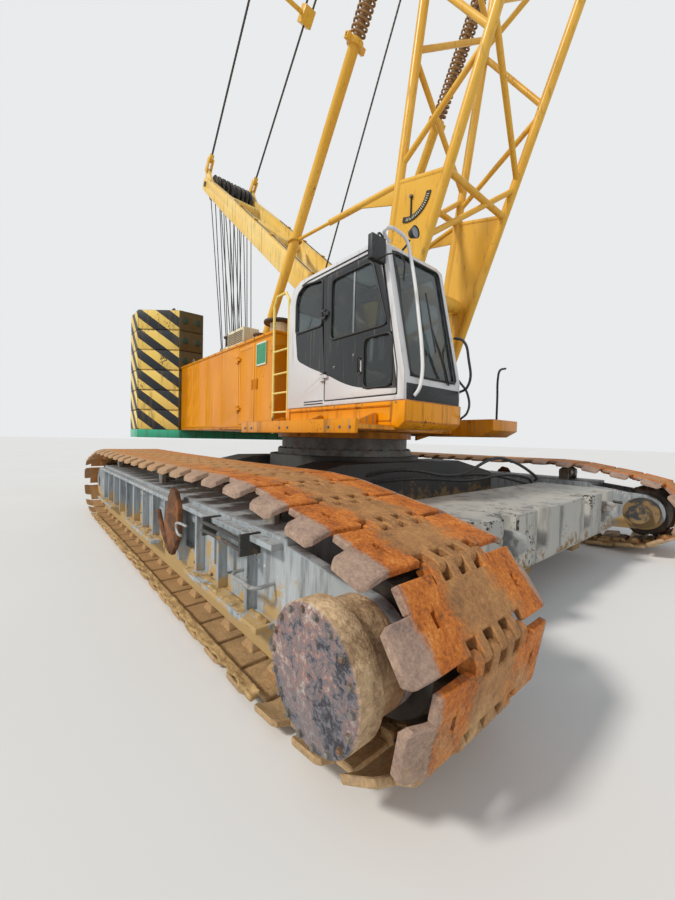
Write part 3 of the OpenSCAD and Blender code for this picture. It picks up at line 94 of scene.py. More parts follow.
# Studio light: one broad soft key from behind the right shoulder, a weak fill from the front, and an even
# pale room. The floor and the far wall are the same pale grey.
def linear(code):
    """An sRGB hex colour as linear RGBA."""
    parts = [int(code[i:i + 2], 16) / 255 for i in (1, 3, 5)]
    return tuple(p / 12.92 if p <= 0.04045 else ((p + 0.055) / 1.055) ** 2.4 for p in parts) + (1.0,)


def put(tree, kind, settings=None, links=None):
    """Adds a node. Settings name an attribute or a socket, and links name a socket and what feeds it."""
    made = tree.nodes.new("ShaderNode" + kind)
    for key, value in (settings or {}).items():
        if isinstance(key, int) or key in made.inputs:
            made.inputs[key].default_value = value
        else:
            setattr(made, key, value)
    for key, source in (links or {}).items():
        tree.links.new(source, made.inputs[key])
    return made


def blank(name):
    """A new material, with its node tree, its shader, and the place on the piece in metres."""
    made = bpy.data.materials.new(name)
    made.use_nodes = True
    tree = made.node_tree
    return made, tree, tree.nodes["Principled BSDF"], put(tree, "TexCoord").outputs["Object"]


for name, direction, strength, spread, tint in (
    ("key_lamp", (0.25, 1.0, -0.95), 2.25, 9, "#FFFAF3"),
    ("fill_lamp", (-1.0, 0.35, -0.45), 0.45, 40, "#F4F5FA"),
):
    bpy.ops.object.light_add(type="SUN")
    lamp = bpy.context.object
    lamp.name = name
    lamp.rotation_mode = "QUATERNION"
    lamp.rotation_quaternion = Vector(direction).to_track_quat("-Z", "Y")
    lamp.data.energy = strength
    lamp.data.angle = math.radians(spread)
    lamp.data.color = linear(tint)[:3]

room = bpy.data.worlds.new("pale_room")
bpy.context.scene.world = room
room.use_nodes = True
air = room.node_tree
air.nodes.clear()
path = put(air, "LightPath")
seen = put(air, "Math", {"operation": "MAXIMUM"}, {0: path.outputs["Is Camera Ray"],
                                                   1: path.outputs["Is Transmission Ray"]})
seen = put(air, "Math", {"operation": "MAXIMUM"}, {0: seen.outputs[0], 1: path.outputs["Is Glossy Ray"]})
lit = put(air, "Background", {"Color": linear("#E2E7EE"), "Strength": 0.56})
shown = put(air, "Background", {"Color": linear("#E9EBEC"), "Strength": 1.0})
both = put(air, "MixShader", {}, {0: seen.outputs[0], 1: lit.outputs[0], 2: shown.outputs[0]})
put(air, "OutputWorld", {}, {"Surface": both.outputs[0]})

bpy.ops.mesh.primitive_plane_add(size=260, location=(0, 0, -0.002))
floor = bpy.context.object
floor.name = "studio_floor"
bpy.ops.object.transform_apply(location=True)
concrete, tree, skin, place = blank("pale_painted_concrete")
cloud = put(tree, "TexNoise", {"Scale": 0.4, "Detail": 4.0}, {"Vector": place})
shade = put(tree, "Mix", {"data_type": "RGBA", 6: linear("#DEDEDC"), 7: linear("#E6E6E4")},
            {0: cloud.outputs[0]})
tree.links.new(shade.outputs[2], skin.inputs["Base Color"])
skin.inputs["Roughness"].default_value = 0.85
floor.data.materials.append(concrete)


# Undercarriage centre: a round welded carbody with two cross beams, sprayed dark grey and never cleaned
# since. Its weights are cast slabs in grey paint, with a lifting lug in two of the notches.
def worn_paint(name, colour, faded, dirt, chip, dirty=0.5, chipped=0.5, rough=(0.35, 0.7), streak=(9, 9, 0.9),
               dent=0.004, mud_top=0.0, mud="#B08F62", marking=None):
    """Sprayed paint on steel plate: faded patches, dirt that runs down, chips to the metal, and road mud
    below mud_top. marking draws a second colour on the clean coat."""
    made, tree, skin, place = blank(name)
    # sun-faded areas about a metre and a half across
    fade = put(tree, "TexNoise", {"Scale": 0.7, "Detail": 3.0, "Roughness": 0.6}, {"Vector": place})
    fade = put(tree, "MapRange", {"From Min": 0.38, "From Max": 0.66}, {"Value": fade.outputs[0]})
    coat = put(tree, "Mix", {"data_type": "RGBA", 6: linear(colour), 7: linear(faded)}, {0: fade.outputs[0]})
    coat = marking(tree, place, coat) if marking else coat
    # dirt that rain has drawn down, in runs about 100 mm apart
    runs = put(tree, "Mapping", {"Scale": streak}, {"Vector": place})
    runs = put(tree, "TexNoise", {"Scale": 1.0, "Detail": 6.0, "Roughness": 0.62},
               {"Vector": runs.outputs[0]})
    runs = put(tree, "MapRange", {"From Min": 0.66 - 0.24 * dirty, "From Max": 0.84 - 0.12 * dirty,
                                  "To Max": 0.85}, {"Value": runs.outputs[0]})
    soiled = put(tree, "Mix", {"data_type": "RGBA", 7: linear(dirt)},
                 {0: runs.outputs[0], 6: coat.outputs[2]})
    # chips of 10 to 40 mm, gathered in patches
    flake = put(tree, "TexNoise", {"Scale": 26.0, "Detail": 5.0, "Roughness": 0.7}, {"Vector": place})
    patch = put(tree, "TexNoise", {"Scale": 1.9, "Detail": 2.0}, {"Vector": place})
    both = put(tree, "Math", {"operation": "MULTIPLY"}, {0: flake.outputs[0], 1: patch.outputs[0]})
    chips = put(tree, "MapRange", {"From Min": 0.44 - 0.10 * chipped, "From Max": 0.46 - 0.10 * chipped},
                {"Value": both.outputs[0]})
    worn = put(tree, "Mix", {"data_type": "RGBA", 7: linear(chip)},
               {0: chips.outputs[0], 6: soiled.outputs[2]})
    dull = put(tree, "MapRange", {"To Min": rough[0], "To Max": rough[1]}, {"Value": runs.outputs[0]})
    dull = put(tree, "Math", {"operation": "MAXIMUM"}, {0: dull.outputs[0], 1: chips.outputs[0]})
    final, height = worn.outputs[2], flake.outputs[0]
    if mud_top:
        # dried mud thrown up from the ground, with a ragged upper edge
        level = put(tree, "SeparateXYZ", {}, {"Vector": place})
        ragged = put(tree, "TexNoise", {"Scale": 5.0, "Detail": 8.0, "Roughness": 0.7}, {"Vector": place})
        edge = put(tree, "MapRange", {"From Min": 0.3, "From Max": 0.7, "To Min": -0.35, "To Max": 0.35},
                   {"Value": ragged.outputs[0]})
        high = put(tree, "Math", {"operation": "ADD"}, {0: level.outputs["Z"], 1: edge.outputs[0]})
        cover = put(tree, "MapRange", {"From Min": mud_top, "From Max": mud_top - 0.12},
                    {"Value": high.outputs[0]})
        caked = put(tree, "Mix", {"data_type": "RGBA", 7: linear(mud)}, {0: cover.outputs[0], 6: final})
        final = caked.outputs[2]
        dull = put(tree, "Math", {"operation": "MAXIMUM"}, {0: dull.outputs[0], 1: cover.outputs[0]})
    tree.links.new(final, skin.inputs["Base Color"])
    tree.links.new(dull.outputs[0], skin.inputs["Roughness"])
    # enamel years in the sun is chalky and reflects less than new
    skin.inputs["Specular IOR Level"].default_value = 0.25
    # plate that has lost its flatness, over the grain of the coat
    wave = put(tree, "TexNoise", {"Scale": 2.2, "Detail": 1.0}, {"Vector": place})
    soft = put(tree, "Bump", {"Strength": 0.5, "Distance": dent}, {"Height": wave.outputs[0]})
    grain = put(tree, "Bump", {"Strength": 0.35, "Distance": 0.002},
                {"Height": height, "Normal": soft.outputs[0]})
    tree.links.new(grain.outputs[0], skin.inputs["Normal"])
    return made


def cast_iron(name, dark, light, rust, rough=0.75, rusty=0.5, scale=6.0):
    """Raw or worn cast steel: mottled dark metal, rust bloom in patches and a pitted skin."""
    made, tree, skin, place = blank(name)
    blot = put(tree, "TexNoise", {"Scale": scale, "Detail": 7.0, "Roughness": 0.68}, {"Vector": place})
    tone = put(tree, "MapRange", {"From Min": 0.36, "From Max": 0.64}, {"Value": blot.outputs[0]})
    body = put(tree, "Mix", {"data_type": "RGBA", 6: linear(dark), 7: linear(light)}, {0: tone.outputs[0]})
    bloom = put(tree, "TexNoise", {"Scale": scale * 0.6, "Detail": 9.0, "Roughness": 0.75, "Distortion": 0.4},
                {"Vector": place})
    bloom = put(tree, "MapRange", {"From Min": 0.60 - 0.18 * rusty, "From Max": 0.68 - 0.14 * rusty},
                {"Value": bloom.outputs[0]})
    mixed = put(tree, "Mix", {"data_type": "RGBA", 7: linear(rust)},
                {0: bloom.outputs[0], 6: body.outputs[2]})
    tree.links.new(mixed.outputs[2], skin.inputs["Base Color"])
    # pits of 5 to 10 mm left by the sand and by rust
    pits = put(tree, "TexNoise", {"Scale": 120.0, "Detail": 3.0}, {"Vector": place})
    relief = put(tree, "Bump", {"Strength": 0.6, "Distance": 0.003}, {"Height": pits.outputs[0]})
    tree.links.new(relief.outputs[0], skin.inputs["Normal"])
    skin.inputs["Metallic"].default_value = 0.25
    skin.inputs["Roughness"].default_value = rough
    return made


def only(thing):
    """Selects one object, and makes it the active one."""
    bpy.ops.object.select_all(action="DESELECT")
    thing.select_set(True)
    bpy.context.view_layer.objects.active = thing


def pick(thing, test):
    """In edit mode, selects the faces whose middle and normal pass the test."""
    shape = bmesh.from_edit_mesh(thing.data)
    for part in (shape.verts, shape.edges, shape.faces):
        for item in part:
            item.select_set(False)
    for face in shape.faces:
        if test(face.calc_center_median(), face.normal):
            face.select_set(True)
    shape.select_flush(True)
    bmesh.update_edit_mesh(thing.data)


def paint(thing, *coats):
    """Gives a piece its coats, in the order of its material slots."""
    thing.data.materials.clear()
    for coat in coats:
        thing.data.materials.append(coat)
    return thing


def bevelled(thing, width, segments=2, coat=-1):
    """Breaks the edges of a finished mesh that are sharper than 40 degrees, and smooths what is below 30."""
    only(thing)
    edge = thing.modifiers.new("broken_edges", "BEVEL")
    edge.width, edge.segments, edge.limit_method = width, segments, "ANGLE"
    edge.angle_limit = math.radians(40)
    edge.use_clamp_overlap = False
    edge.material = coat
    bpy.ops.object.modifier_apply(modifier=edge.name)
    bpy.ops.object.shade_smooth_by_angle(angle=math.radians(30))
    return thing


def dressed(node, body, width, *coats):
    """The CAD node's own solid in its place, merged to whole plates and with its edges broken."""
    thing = frame["nodes"][node].copy()
    thing.data = frame["nodes"][node].data.copy()
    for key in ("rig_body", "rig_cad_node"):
        if key in thing:
            del thing[key]
    thing.parent = None
    thing.name = node + "_plates"
    bpy.context.scene.collection.objects.link(thing)
    only(thing)
    bpy.ops.object.mode_set(mode="EDIT")
    bpy.ops.mesh.select_all(action="SELECT")
    bpy.ops.mesh.remove_doubles(threshold=0.00002)
    bpy.ops.mesh.dissolve_limited(angle_limit=math.radians(0.6))
    bpy.ops.object.mode_set(mode="OBJECT")
    paint(thing, *coats)
    for face in thing.data.polygons:
        face.material_index = 0
    bevelled(thing, width, coat=len(coats) - 1)
    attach(thing, body)
    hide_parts(node)
    return thing


chassis_black = worn_paint("chassis_black_spray", "#3A3B3C", "#4A4A48", "#5E5344", "#6B4A33", dirty=0.7,
                           chipped=0.5, rough=(0.5, 0.9), mud_top=0.75, mud="#8A7250")
slab_grey = worn_paint("grey_sprayed_cast_slab", "#9A9B98", "#B2AFA5", "#4C4B47", "#3B3A38", dirty=0.6,
                       chipped=0.75, rough=(0.5, 0.85), streak=(7, 7, 1.6), mud_top=0.5, mud="#8A7250")
slab_edge = worn_paint("rubbed_slab_edge", "#A9A69C", "#8C8A84", "#5B5852", "#3F3D3A", dirty=0.4, chipped=1.2)
machined_steel = cast_iron("machined_ring_steel", "#55534F", "#7B7974", "#6A4A30", rough=0.5, rusty=0.3)
lug_steel = cast_iron("bright_rubbed_lug_steel", "#8B8D8D", "#B4B5B2", "#7A5B3E", rough=0.45, rusty=0.2)
dressed("carbody", "base", 0.008, chassis_black, chassis_black)
dressed("carbody_weights", "base", 0.018, slab_grey, slab_edge)
dressed("weight_lugs", "base", 0.004, lug_steel, lug_steel)
paint(frame["nodes"]["slew_ring"], machined_steel)


# Bolts round the slewing ring: forged steel heads on washers, which hold the ring down on the carbody. They
# are dull grey and brown from the weather.
def extrude(x, y, z):
    """Draws out the faces that are picked, and moves them."""
    bpy.ops.mesh.extrude_region_move(TRANSFORM_OT_translate={"value": (x, y, z)})


def bolt(radius, height, coat):
    """A bolt's head standing on its washer, with its foot at the origin and its top along Z."""
    bpy.ops.mesh.primitive_cylinder_add(vertices=12, radius=radius * 1.35, depth=height * 0.2,
                                        location=(0, 0, height * 0.1))
    head = bpy.context.object
    bpy.ops.object.transform_apply(location=True)
    bpy.ops.object.mode_set(mode="EDIT")
    pick(head, lambda c, n: n.z > 0.9)
    bpy.ops.mesh.inset(thickness=radius * 0.36)
    extrude(0, 0, height * 0.65)
    bpy.ops.mesh.inset(thickness=radius * 0.15)
    bpy.ops.transform.translate(value=(0, 0, height * 0.15))
    bpy.ops.object.mode_set(mode="OBJECT")
    return paint(head, coat)


def copies(name, master, places, body):
    """Copies of one finished shape at the given matrices, joined to one piece. The shape itself goes."""
    made = []
    for place in places:
        twin = master.copy()
        twin.data = master.data.copy()
        twin.data.transform(place)
        twin.parent = None
        bpy.context.scene.collection.objects.link(twin)
        made.append(twin)
    bpy.ops.object.select_all(action="DESELECT")
    for twin in made:
        twin.select_set(True)
    bpy.context.view_layer.objects.active = made[0]
    if len(made) > 1:
        bpy.ops.object.join()
    whole = bpy.context.object
    whole.name = name
    bpy.data.objects.remove(master)
    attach(whole, body)
    return whole


def turn(angle, axis):
    """A turn in degrees."""
    return Matrix.Rotation(math.radians(angle), 4, axis)


def at(x, y, z):
    """A move in metres."""
    return Matrix.Translation((x, y, z))


bolt_steel = cast_iron("weathered_bolt_steel", "#5C5853", "#8A857C", "#7A5536", rough=0.55, rusty=0.4,
                       scale=20)
flange_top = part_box("slew_ring")[0].z + 0.09
bolt_circle, bolt_count = 1.115, 36
ring_places = [turn(360 // bolt_count * i, "Z") @ at(bolt_circle, 0, flange_top) for i in range(bolt_count)]
copies("slew_ring_bolts", bolt(0.018, 0.022, bolt_steel), ring_places, "base")


# Hoses of the travel motors and of the front cylinder: black rubber, clipped along the carbody and looped
# over the front weight's brackets.
hands = (("right", -1), ("left", 1))


def hose(name, points, radius, coat, body, ring=10, straight=False, closed=False):
    """A tube through points, smoothed into one curve unless it is straight, and made a mesh."""
    line = bpy.data.curves.new(name, "CURVE")
    line.dimensions = "3D"
    line.bevel_depth = radius
    line.bevel_resolution = ring // 4
    line.resolution_u = 1 if straight else 8
    line.use_fill_caps = True
    run = line.splines.new("BEZIER")
    run.bezier_points.add(len(points) - 1)
    for knot, point in zip(run.bezier_points, points):
        knot.co = point
        knot.handle_left_type = knot.handle_right_type = "VECTOR" if straight else "AUTO"
    run.use_cyclic_u = closed
    tube = bpy.data.objects.new(name, line)
    bpy.context.scene.collection.objects.link(tube)
    only(tube)
    bpy.ops.object.convert(target="MESH")
    tube = bpy.context.object
    tube.name = name
    bpy.ops.object.shade_smooth_by_angle(angle=math.radians(40))
    paint(tube, coat)
    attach(tube, body)
    return tube


def moulded(name, colour, light, rough=0.6, scale=30.0, metal=0.0):
    """Moulded plastic or rubber: an even colour with scuffs and a fine skin."""
    made, tree, skin, place = blank(name)
    scuff = put(tree, "TexNoise", {"Scale": scale, "Detail": 6.0, "Roughness": 0.7}, {"Vector": place})
    share = put(tree, "MapRange", {"From Min": 0.52, "From Max": 0.72}, {"Value": scuff.outputs[0]})
    tone = put(tree, "Mix", {"data_type": "RGBA", 6: linear(colour), 7: linear(light)}, {0: share.outputs[0]})
    tree.links.new(tone.outputs[2], skin.inputs["Base Color"])
    dull = put(tree, "MapRange", {"To Min": rough * 0.8, "To Max": min(rough * 1.25, 1.0)},
               {"Value": scuff.outputs[0]})
    tree.links.new(dull.outputs[0], skin.inputs["Roughness"])
    relief = put(tree, "Bump", {"Strength": 0.3, "Distance": 0.001}, {"Height": scuff.outputs[0]})
    tree.links.new(relief.outputs[0], skin.inputs["Normal"])
    skin.inputs["Metallic"].default_value = metal
    return made


hose_rubber = moulded("black_hose_rubber", "#2E2F30", "#56544F", 0.55)
hose("front_hose_upper", [(1.30, -1.05, 1.02), (1.75, -0.55, 1.16), (2.15, 0.15, 1.10), (2.35, 0.75, 1.32),
                          (2.42, 1.15, 1.28), (2.52, 1.75, 1.04), (2.30, 2.30, 0.92)], 0.022, hose_rubber,
     "base")
hose("front_hose_lower", [(1.28, -1.00, 0.95), (1.85, -0.30, 1.04), (2.20, 0.35, 1.02), (2.36, 1.05, 1.08),
                          (2.44, 1.60, 1.02), (2.28, 2.28, 0.84)], 0.022, hose_rubber, "base")
for hand, side in hands:
    hose("travel_hose_" + hand, [(1.20, side * 1.1, 0.90), (1.75, side * 1.65, 1.00),
                                 (2.45, side * 2.00, 0.86), (3.05, side * 2.06, 0.78),
                                 (3.55, side * 2.12, 0.74)], 0.020, hose_rubber, "base")


# Side frames: long welded boxes in pale blue-grey paint, rubbed and scratched to bright metal, with ribs and
# openings outside and a step ledge that holds caked mud.
frame_paint = worn_paint("blue_grey_frame_paint", "#8E979D", "#B2B8B9", "#4A4B49", "#D0D2CF", dirty=0.75,
                         chipped=0.75, rough=(0.4, 0.85), streak=(16, 16, 2.0), mud_top=0.52, mud="#B59868")
frame_edge = worn_paint("rubbed_frame_edge", "#A7AFB2", "#8A959B", "#6A5C48", "#7A5A3C", dirty=0.6,
                        chipped=1.0, rough=(0.4, 0.8), mud_top=0.52, mud="#B59868")
rust_plate = cast_iron("deep_rust_plate", "#4A3223", "#6E4A31", "#8A5A36", rough=0.9, rusty=0.7, scale=9)
mud_earth, tree, skin, place = blank("dried_tan_mud")
clod = put(tree, "TexNoise", {"Scale": 14.0, "Detail": 9.0, "Roughness": 0.7}, {"Vector": place})
tone = put(tree, "MapRange", {"From Min": 0.35, "From Max": 0.65}, {"Value": clod.outputs[0]})
earth = put(tree, "Mix", {"data_type": "RGBA", 6: linear("#8E7046"), 7: linear("#C9A974")},
            {0: tone.outputs[0]})
tree.links.new(earth.outputs[2], skin.inputs["Base Color"])
skin.inputs["Roughness"].default_value = 1.0
crumb = put(tree, "TexNoise", {"Scale": 70.0, "Detail": 4.0}, {"Vector": place})
relief = put(tree, "Bump", {"Strength": 0.9, "Distance": 0.012}, {"Height": crumb.outputs[0]})
tree.links.new(relief.outputs[0], skin.inputs["Normal"])

for hand, side in hands:
    dressed("side_frame_" + hand, "base", 0.005, frame_paint, frame_edge)
    low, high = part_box("side_frame_" + hand)
    outer = low.y if side < 0 else high.y
    # mud lying on the step ledge, and on the ground run beside it
    ledge = (outer - side * 0.11, outer - side * 0.012, 0.424, 0.034)
    ground = (outer + side * 0.005, outer - side * 0.075 + side * 0.14, 0.100, 0.030)
    for name, x0, x1, (y0, y1, level, depth), seed in (
        ("ledge_mud_rear_", -2.94, -1.71, ledge, 3), ("ledge_mud_middle_", -0.64, 0.64, ledge, 4),
        ("ledge_mud_front_", 1.71, 2.94, ledge, 6), ("ground_run_mud_", -3.05, 3.05, ground, 5),
    ):
        bpy.ops.mesh.primitive_grid_add(x_subdivisions=round(40 * (x1 - x0)), y_subdivisions=9, size=1)
        heap = bpy.context.object
        heap.name = name + hand
        heap.scale = (x1 - x0, abs(y1 - y0), 1)
        heap.location = ((x0 + x1) / 2, (y0 + y1) / 2, level)
        bpy.ops.object.transform_apply(location=True, scale=True)
        for v in heap.data.vertices:
            p = v.co
            # clods about 140 mm apart, and half as high ones 40 mm apart
            clods = noise.noise(Vector((p.x * 7, p.y * 9, seed)))
            clods += 0.5 * noise.noise(Vector((p.x * 23, p.y * 25, seed)))
            across = 1 - abs((p.y - (y0 + y1) / 2) / ((y1 - y0) / 2)) ** 4
            v.co.z += depth * max(-0.6, clods) * across
        if heap.data.polygons[0].normal.z < 0:
            heap.data.flip_normals()
        thick = heap.modifiers.new("depth", "SOLIDIFY")
        thick.thickness, thick.offset = 0.03, -1
        only(heap)
        bpy.ops.object.modifier_apply(modifier=thick.name)
        bpy.ops.object.shade_smooth()
        paint(heap, mud_earth)
        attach(heap, "base")


# Fittings on the outer wall of a side frame: a rusty track-tension lever that leans on the ledge with its
# bar, a lifting hook, a boarding step and a grab iron. They are bolted on, and match on both sides.
def flat_plate(name, outline, y, thick, coat, body, bevel=0.004):
    """A plate cut to an XZ outline, pulled out along Y from y, with broken edges."""
    bpy.ops.mesh.primitive_circle_add(vertices=len(outline), radius=1, fill_type="NGON")
    plate = bpy.context.object
    plate.name = name
    for v, (x, z) in zip(plate.data.vertices, outline):
        v.co = (x, y, z)
    bpy.ops.object.mode_set(mode="EDIT")
    bpy.ops.mesh.select_all(action="SELECT")
    extrude(0, thick, 0)
    bpy.ops.mesh.select_all(action="SELECT")
    bpy.ops.mesh.normals_make_consistent(inside=False)
    bpy.ops.object.mode_set(mode="OBJECT")
    paint(plate, coat)
    bevelled(plate, bevel)
    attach(plate, body)
    return plate


for hand, side in hands:
    low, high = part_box("side_frame_" + hand)
    wall = (low.y if side < 0 else high.y) - side * 0.13
    face = wall + side * 0.075
    flat_plate("tension_lever_" + hand, [(1.16, 0.44), (1.30, 0.43), (1.47, 0.62), (1.50, 0.90), (1.40, 1.04),
                                         (1.28, 1.06), (1.20, 0.98), (1.06, 0.70)], face, side * 0.045,
               rust_plate, "base", 0.010)
    hose("lever_bar_" + hand, [(0.86, face + side * 0.035, 0.78), (1.05, face + side * 0.04, 0.60),
                               (1.28, face + side * 0.035, 0.455)], 0.024, rust_plate, "base")
    hose("lifting_hook_" + hand, [(1.62, face + side * 0.01, 0.76), (1.54, face + side * 0.055, 0.78),
                                  (1.47, face + side * 0.05, 0.74), (1.50, face + side * 0.045, 0.68),
                                  (1.57, face + side * 0.04, 0.67)], 0.012, lug_steel, "base")
    # boarding step: two round bars on brackets
    for z in (0.84, 0.90):
        hose(f"step_bar_{hand}_{int(z * 100)}",
             [(2.12, face + side * 0.06, z), (2.45, face + side * 0.06, z + 0.004),
              (2.78, face + side * 0.06, z)], 0.014, chassis_black, "base")
    for x in (2.14, 2.76):
        flat_plate(f"step_bracket_{hand}_{int(x * 100)}",
                   [(x - 0.012, 0.80), (x + 0.012, 0.80), (x + 0.012, 0.94), (x - 0.012, 0.94)], wall,
                   side * 0.145, chassis_black, "base", 0.003)
    hose("grab_iron_" + hand, [(2.62, wall + side * 0.01, 0.66), (2.64, face + side * 0.05, 0.655),
                               (2.80, face + side * 0.055, 0.65), (2.93, face + side * 0.05, 0.655),
                               (2.95, wall + side * 0.01, 0.66)], 0.013, lug_steel, "base")
    # bolt heads in fours along the wall
    copies("frame_wall_bolts_" + hand, bolt(0.013, 0.016, bolt_steel),
           [at(x + dx, wall, z) @ turn(-90 * side, "X") for x in (-1.8, -0.9, 0.0, 0.9, 1.8)
            for dx in (-0.19, 0.19) for z in (0.43, 0.86)], "base")


# Track: cast steel shoes on pins, run dry, so the faces are orange with rust and the end tabs are rubbed
# grey. Each shoe has hinge fingers that lock into its neighbour, a stepped edge with a bent-down tab and four
# holes.
track_centre = 2.80
shoe_rust, tree, skin, place = blank("orange_rusted_cast_shoe")
axes = put(tree, "SeparateXYZ", {}, {"Vector": place})
# clouds of rust 100 to 200 mm across, under a speckle of 5 to 10 mm
blot = put(tree, "TexNoise", {"Scale": 8.0, "Detail": 9.0, "Roughness": 0.74}, {"Vector": place})
speck = put(tree, "TexNoise", {"Scale": 60.0, "Detail": 7.0, "Roughness": 0.8}, {"Vector": place})
blend = put(tree, "Mix", {"data_type": "FLOAT", 0: 0.52}, {2: blot.outputs[0], 3: speck.outputs[0]})
tone = put(tree, "MapRange", {"From Min": 0.37, "From Max": 0.61}, {"Value": blend.outputs[0]})
rust = put(tree, "ValToRGB", {}, {0: tone.outputs[0]})
ramp = rust.color_ramp
ramp.elements[0].position, ramp.elements[0].color = 0.0, linear("#54300F")
ramp.elements[1].position, ramp.elements[1].color = 1.0, linear("#E2A05C")
for spot, code in ((0.22, "#8A4C1A"), (0.5, "#BE681E"), (0.78, "#D0802F")):
    ramp.elements.new(spot).color = linear(code)
# the middle carries old brown soil, the outer thirds are bright rust
half = put(tree, "Math", {"operation": "ABSOLUTE"}, {0: axes.outputs["Y"]})
half = put(tree, "Math", {"operation": "SUBTRACT", 1: track_centre}, {0: half.outputs[0]})
half = put(tree, "Math", {"operation": "ABSOLUTE"}, {0: half.outputs[0]})
ragged = put(tree, "TexNoise", {"Scale": 4.0, "Detail": 9.0, "Roughness": 0.75}, {"Vector": place})
shift = put(tree, "MapRange", {"From Min": 0.3, "From Max": 0.7, "To Min": -0.14, "To Max": 0.14},
            {"Value": ragged.outputs[0]})
zone = put(tree, "Math", {"operation": "ADD"}, {0: half.outputs[0], 1: shift.outputs[0]})
brown = put(tree, "MapRange", {"From Min": 0.24, "From Max": 0.15, "To Max": 0.8}, {"Value": zone.outputs[0]})
soil_tone = put(tree, "Mix", {"data_type": "RGBA", 6: linear("#7C5836"), 7: linear("#BC935F")},
                {0: tone.outputs[0]})
centre = put(tree, "Mix", {"data_type": "RGBA"}, {0: brown.outputs[0], 6: rust.outputs[0],
                                                  7: soil_tone.outputs[2]})
# tabs rubbed to grey-mauve metal beyond 0.43 m from the middle, and freckled with rust
rubbed = put(tree, "Math", {"operation": "MULTIPLY_ADD", 1: 0.22}, {0: shift.outputs[0], 2: half.outputs[0]})
rubbed = put(tree, "MapRange", {"From Min": 0.418, "From Max": 0.445, "To Max": 0.9},
             {"Value": rubbed.outputs[0]})
grey = put(tree, "MapRange", {"From Min": 0.36, "From Max": 0.64}, {"Value": blend.outputs[0]})
grey = put(tree, "Mix", {"data_type": "RGBA", 6: linear("#75625A"), 7: linear("#BCA794")},
           {0: grey.outputs[0]})
tabs = put(tree, "Mix", {"data_type": "RGBA"}, {0: rubbed.outputs[0], 6: centre.outputs[2],
                                                7: grey.outputs[2]})
# pale scratches and specks of bare metal
nick = put(tree, "TexNoise", {"Scale": 42.0, "Detail": 8.0, "Roughness": 0.85, "Distortion": 1.2},
           {"Vector": place})
nick = put(tree, "MapRange", {"From Min": 0.64, "From Max": 0.70, "To Max": 0.7}, {"Value": nick.outputs[0]})
nicked = put(tree, "Mix", {"data_type": "RGBA", 7: linear("#EBC49A")},
             {0: nick.outputs[0], 6: tabs.outputs[2]})
# mud: all of the ground run and the lower half of the end turns
wet = put(tree, "TexNoise", {"Scale": 3.2, "Detail": 9.0, "Roughness": 0.75}, {"Vector": place})
wet = put(tree, "MapRange", {"From Min": 0.3, "From Max": 0.7, "To Min": -0.34, "To Max": 0.34},
          {"Value": wet.outputs[0]})
level = put(tree, "Math", {"operation": "ADD"}, {0: axes.outputs["Z"], 1: wet.outputs[0]})
mud = put(tree, "MapRange", {"From Min": 0.52, "From Max": 0.12, "To Max": 0.95}, {"Value": level.outputs[0]})
soil = put(tree, "Mix", {"data_type": "RGBA", 6: linear("#8F7350"), 7: linear("#D0AF7F")},
           {0: tone.outputs[0]})
muddy = put(tree, "Mix", {"data_type": "RGBA"}, {0: mud.outputs[0], 6: nicked.outputs[2], 7: soil.outputs[2]})
# dust settled on the far part of the top run, behind the bend
dust = put(tree, "MapRange", {"From Min": 2.6, "From Max": 0.9, "To Max": 0.66}, {"Value": axes.outputs["X"]})
dusty = put(tree, "Mix", {"data_type": "RGBA", 7: linear("#B68C5A")},
            {0: dust.outputs[0], 6: muddy.outputs[2]})
tree.links.new(dusty.outputs[2], skin.inputs["Base Color"])
dull = put(tree, "MapRange", {"To Min": 0.55, "To Max": 0.95}, {"Value": blend.outputs[0]})
tree.links.new(dull.outputs[0], skin.inputs["Roughness"])
skin.inputs["Metallic"].default_value = 0.1
swell = put(tree, "Bump", {"Strength": 0.7, "Distance": 0.012}, {"Height": blot.outputs[0]})
relief = put(tree, "Bump", {"Strength": 0.8, "Distance": 0.004},
             {"Height": speck.outputs[0], "Normal": swell.outputs[0]})
tree.links.new(relief.outputs[0], skin.inputs["Normal"])

# the line of the pins, as the solid's track has it: round both ends, over the bends of the top run, and flat
# on the ground
tumbler_x, tumbler_z, pin_r, top_z, top_bend, ground_bend = 3.72, 0.60, 0.45, 1.232, 2.70, 3.13
pitch, face_up = 0.37, 0.046
pin_line = [(tumbler_x + pin_r * math.cos(math.radians(a)), tumbler_z + pin_r * math.sin(math.radians(a)))
            for a in [-81 + 16 * i for i in range(11)]]
pin_line += [(top_bend, top_z), (top_bend / 3, top_z - 0.012), (-top_bend / 3, top_z - 0.012),
             (-top_bend, top_z)]
pin_line += [(-tumbler_x + pin_r * math.cos(math.radians(a)), tumbler_z + pin_r * math.sin(math.radians(a)))
             for a in [101 + 16 * i for i in range(11)]]
pin_line += [(-ground_bend, face_up), (ground_bend, face_up)]
legs = [math.dist(a, b) for a, b in zip(pin_line, pin_line[1:] + pin_line[:1])]
shoe_count = round(sum(legs) / pitch)


def pin_at(run):
    """The place on the pins' line at a length from its start."""
    for (a, b), leg in zip(zip(pin_line, pin_line[1:] + pin_line[:1]), legs):
        if run <= leg:
            return Vector((a[0] + (b[0] - a[0]) * run / leg, a[1] + (b[1] - a[1]) * run / leg))
        run -= leg
    return Vector(pin_line[0])


pins = [pin_at(sum(legs) * k / shoe_count) for k in range(shoe_count)]


def block(name, place, size):
    """A block at its size and place, to be shaped on."""
    bpy.ops.mesh.primitive_cube_add(size=1, location=place)
    made = bpy.context.object
    made.name = name
    made.scale = size
    bpy.ops.object.transform_apply(location=True, scale=True)
    return made


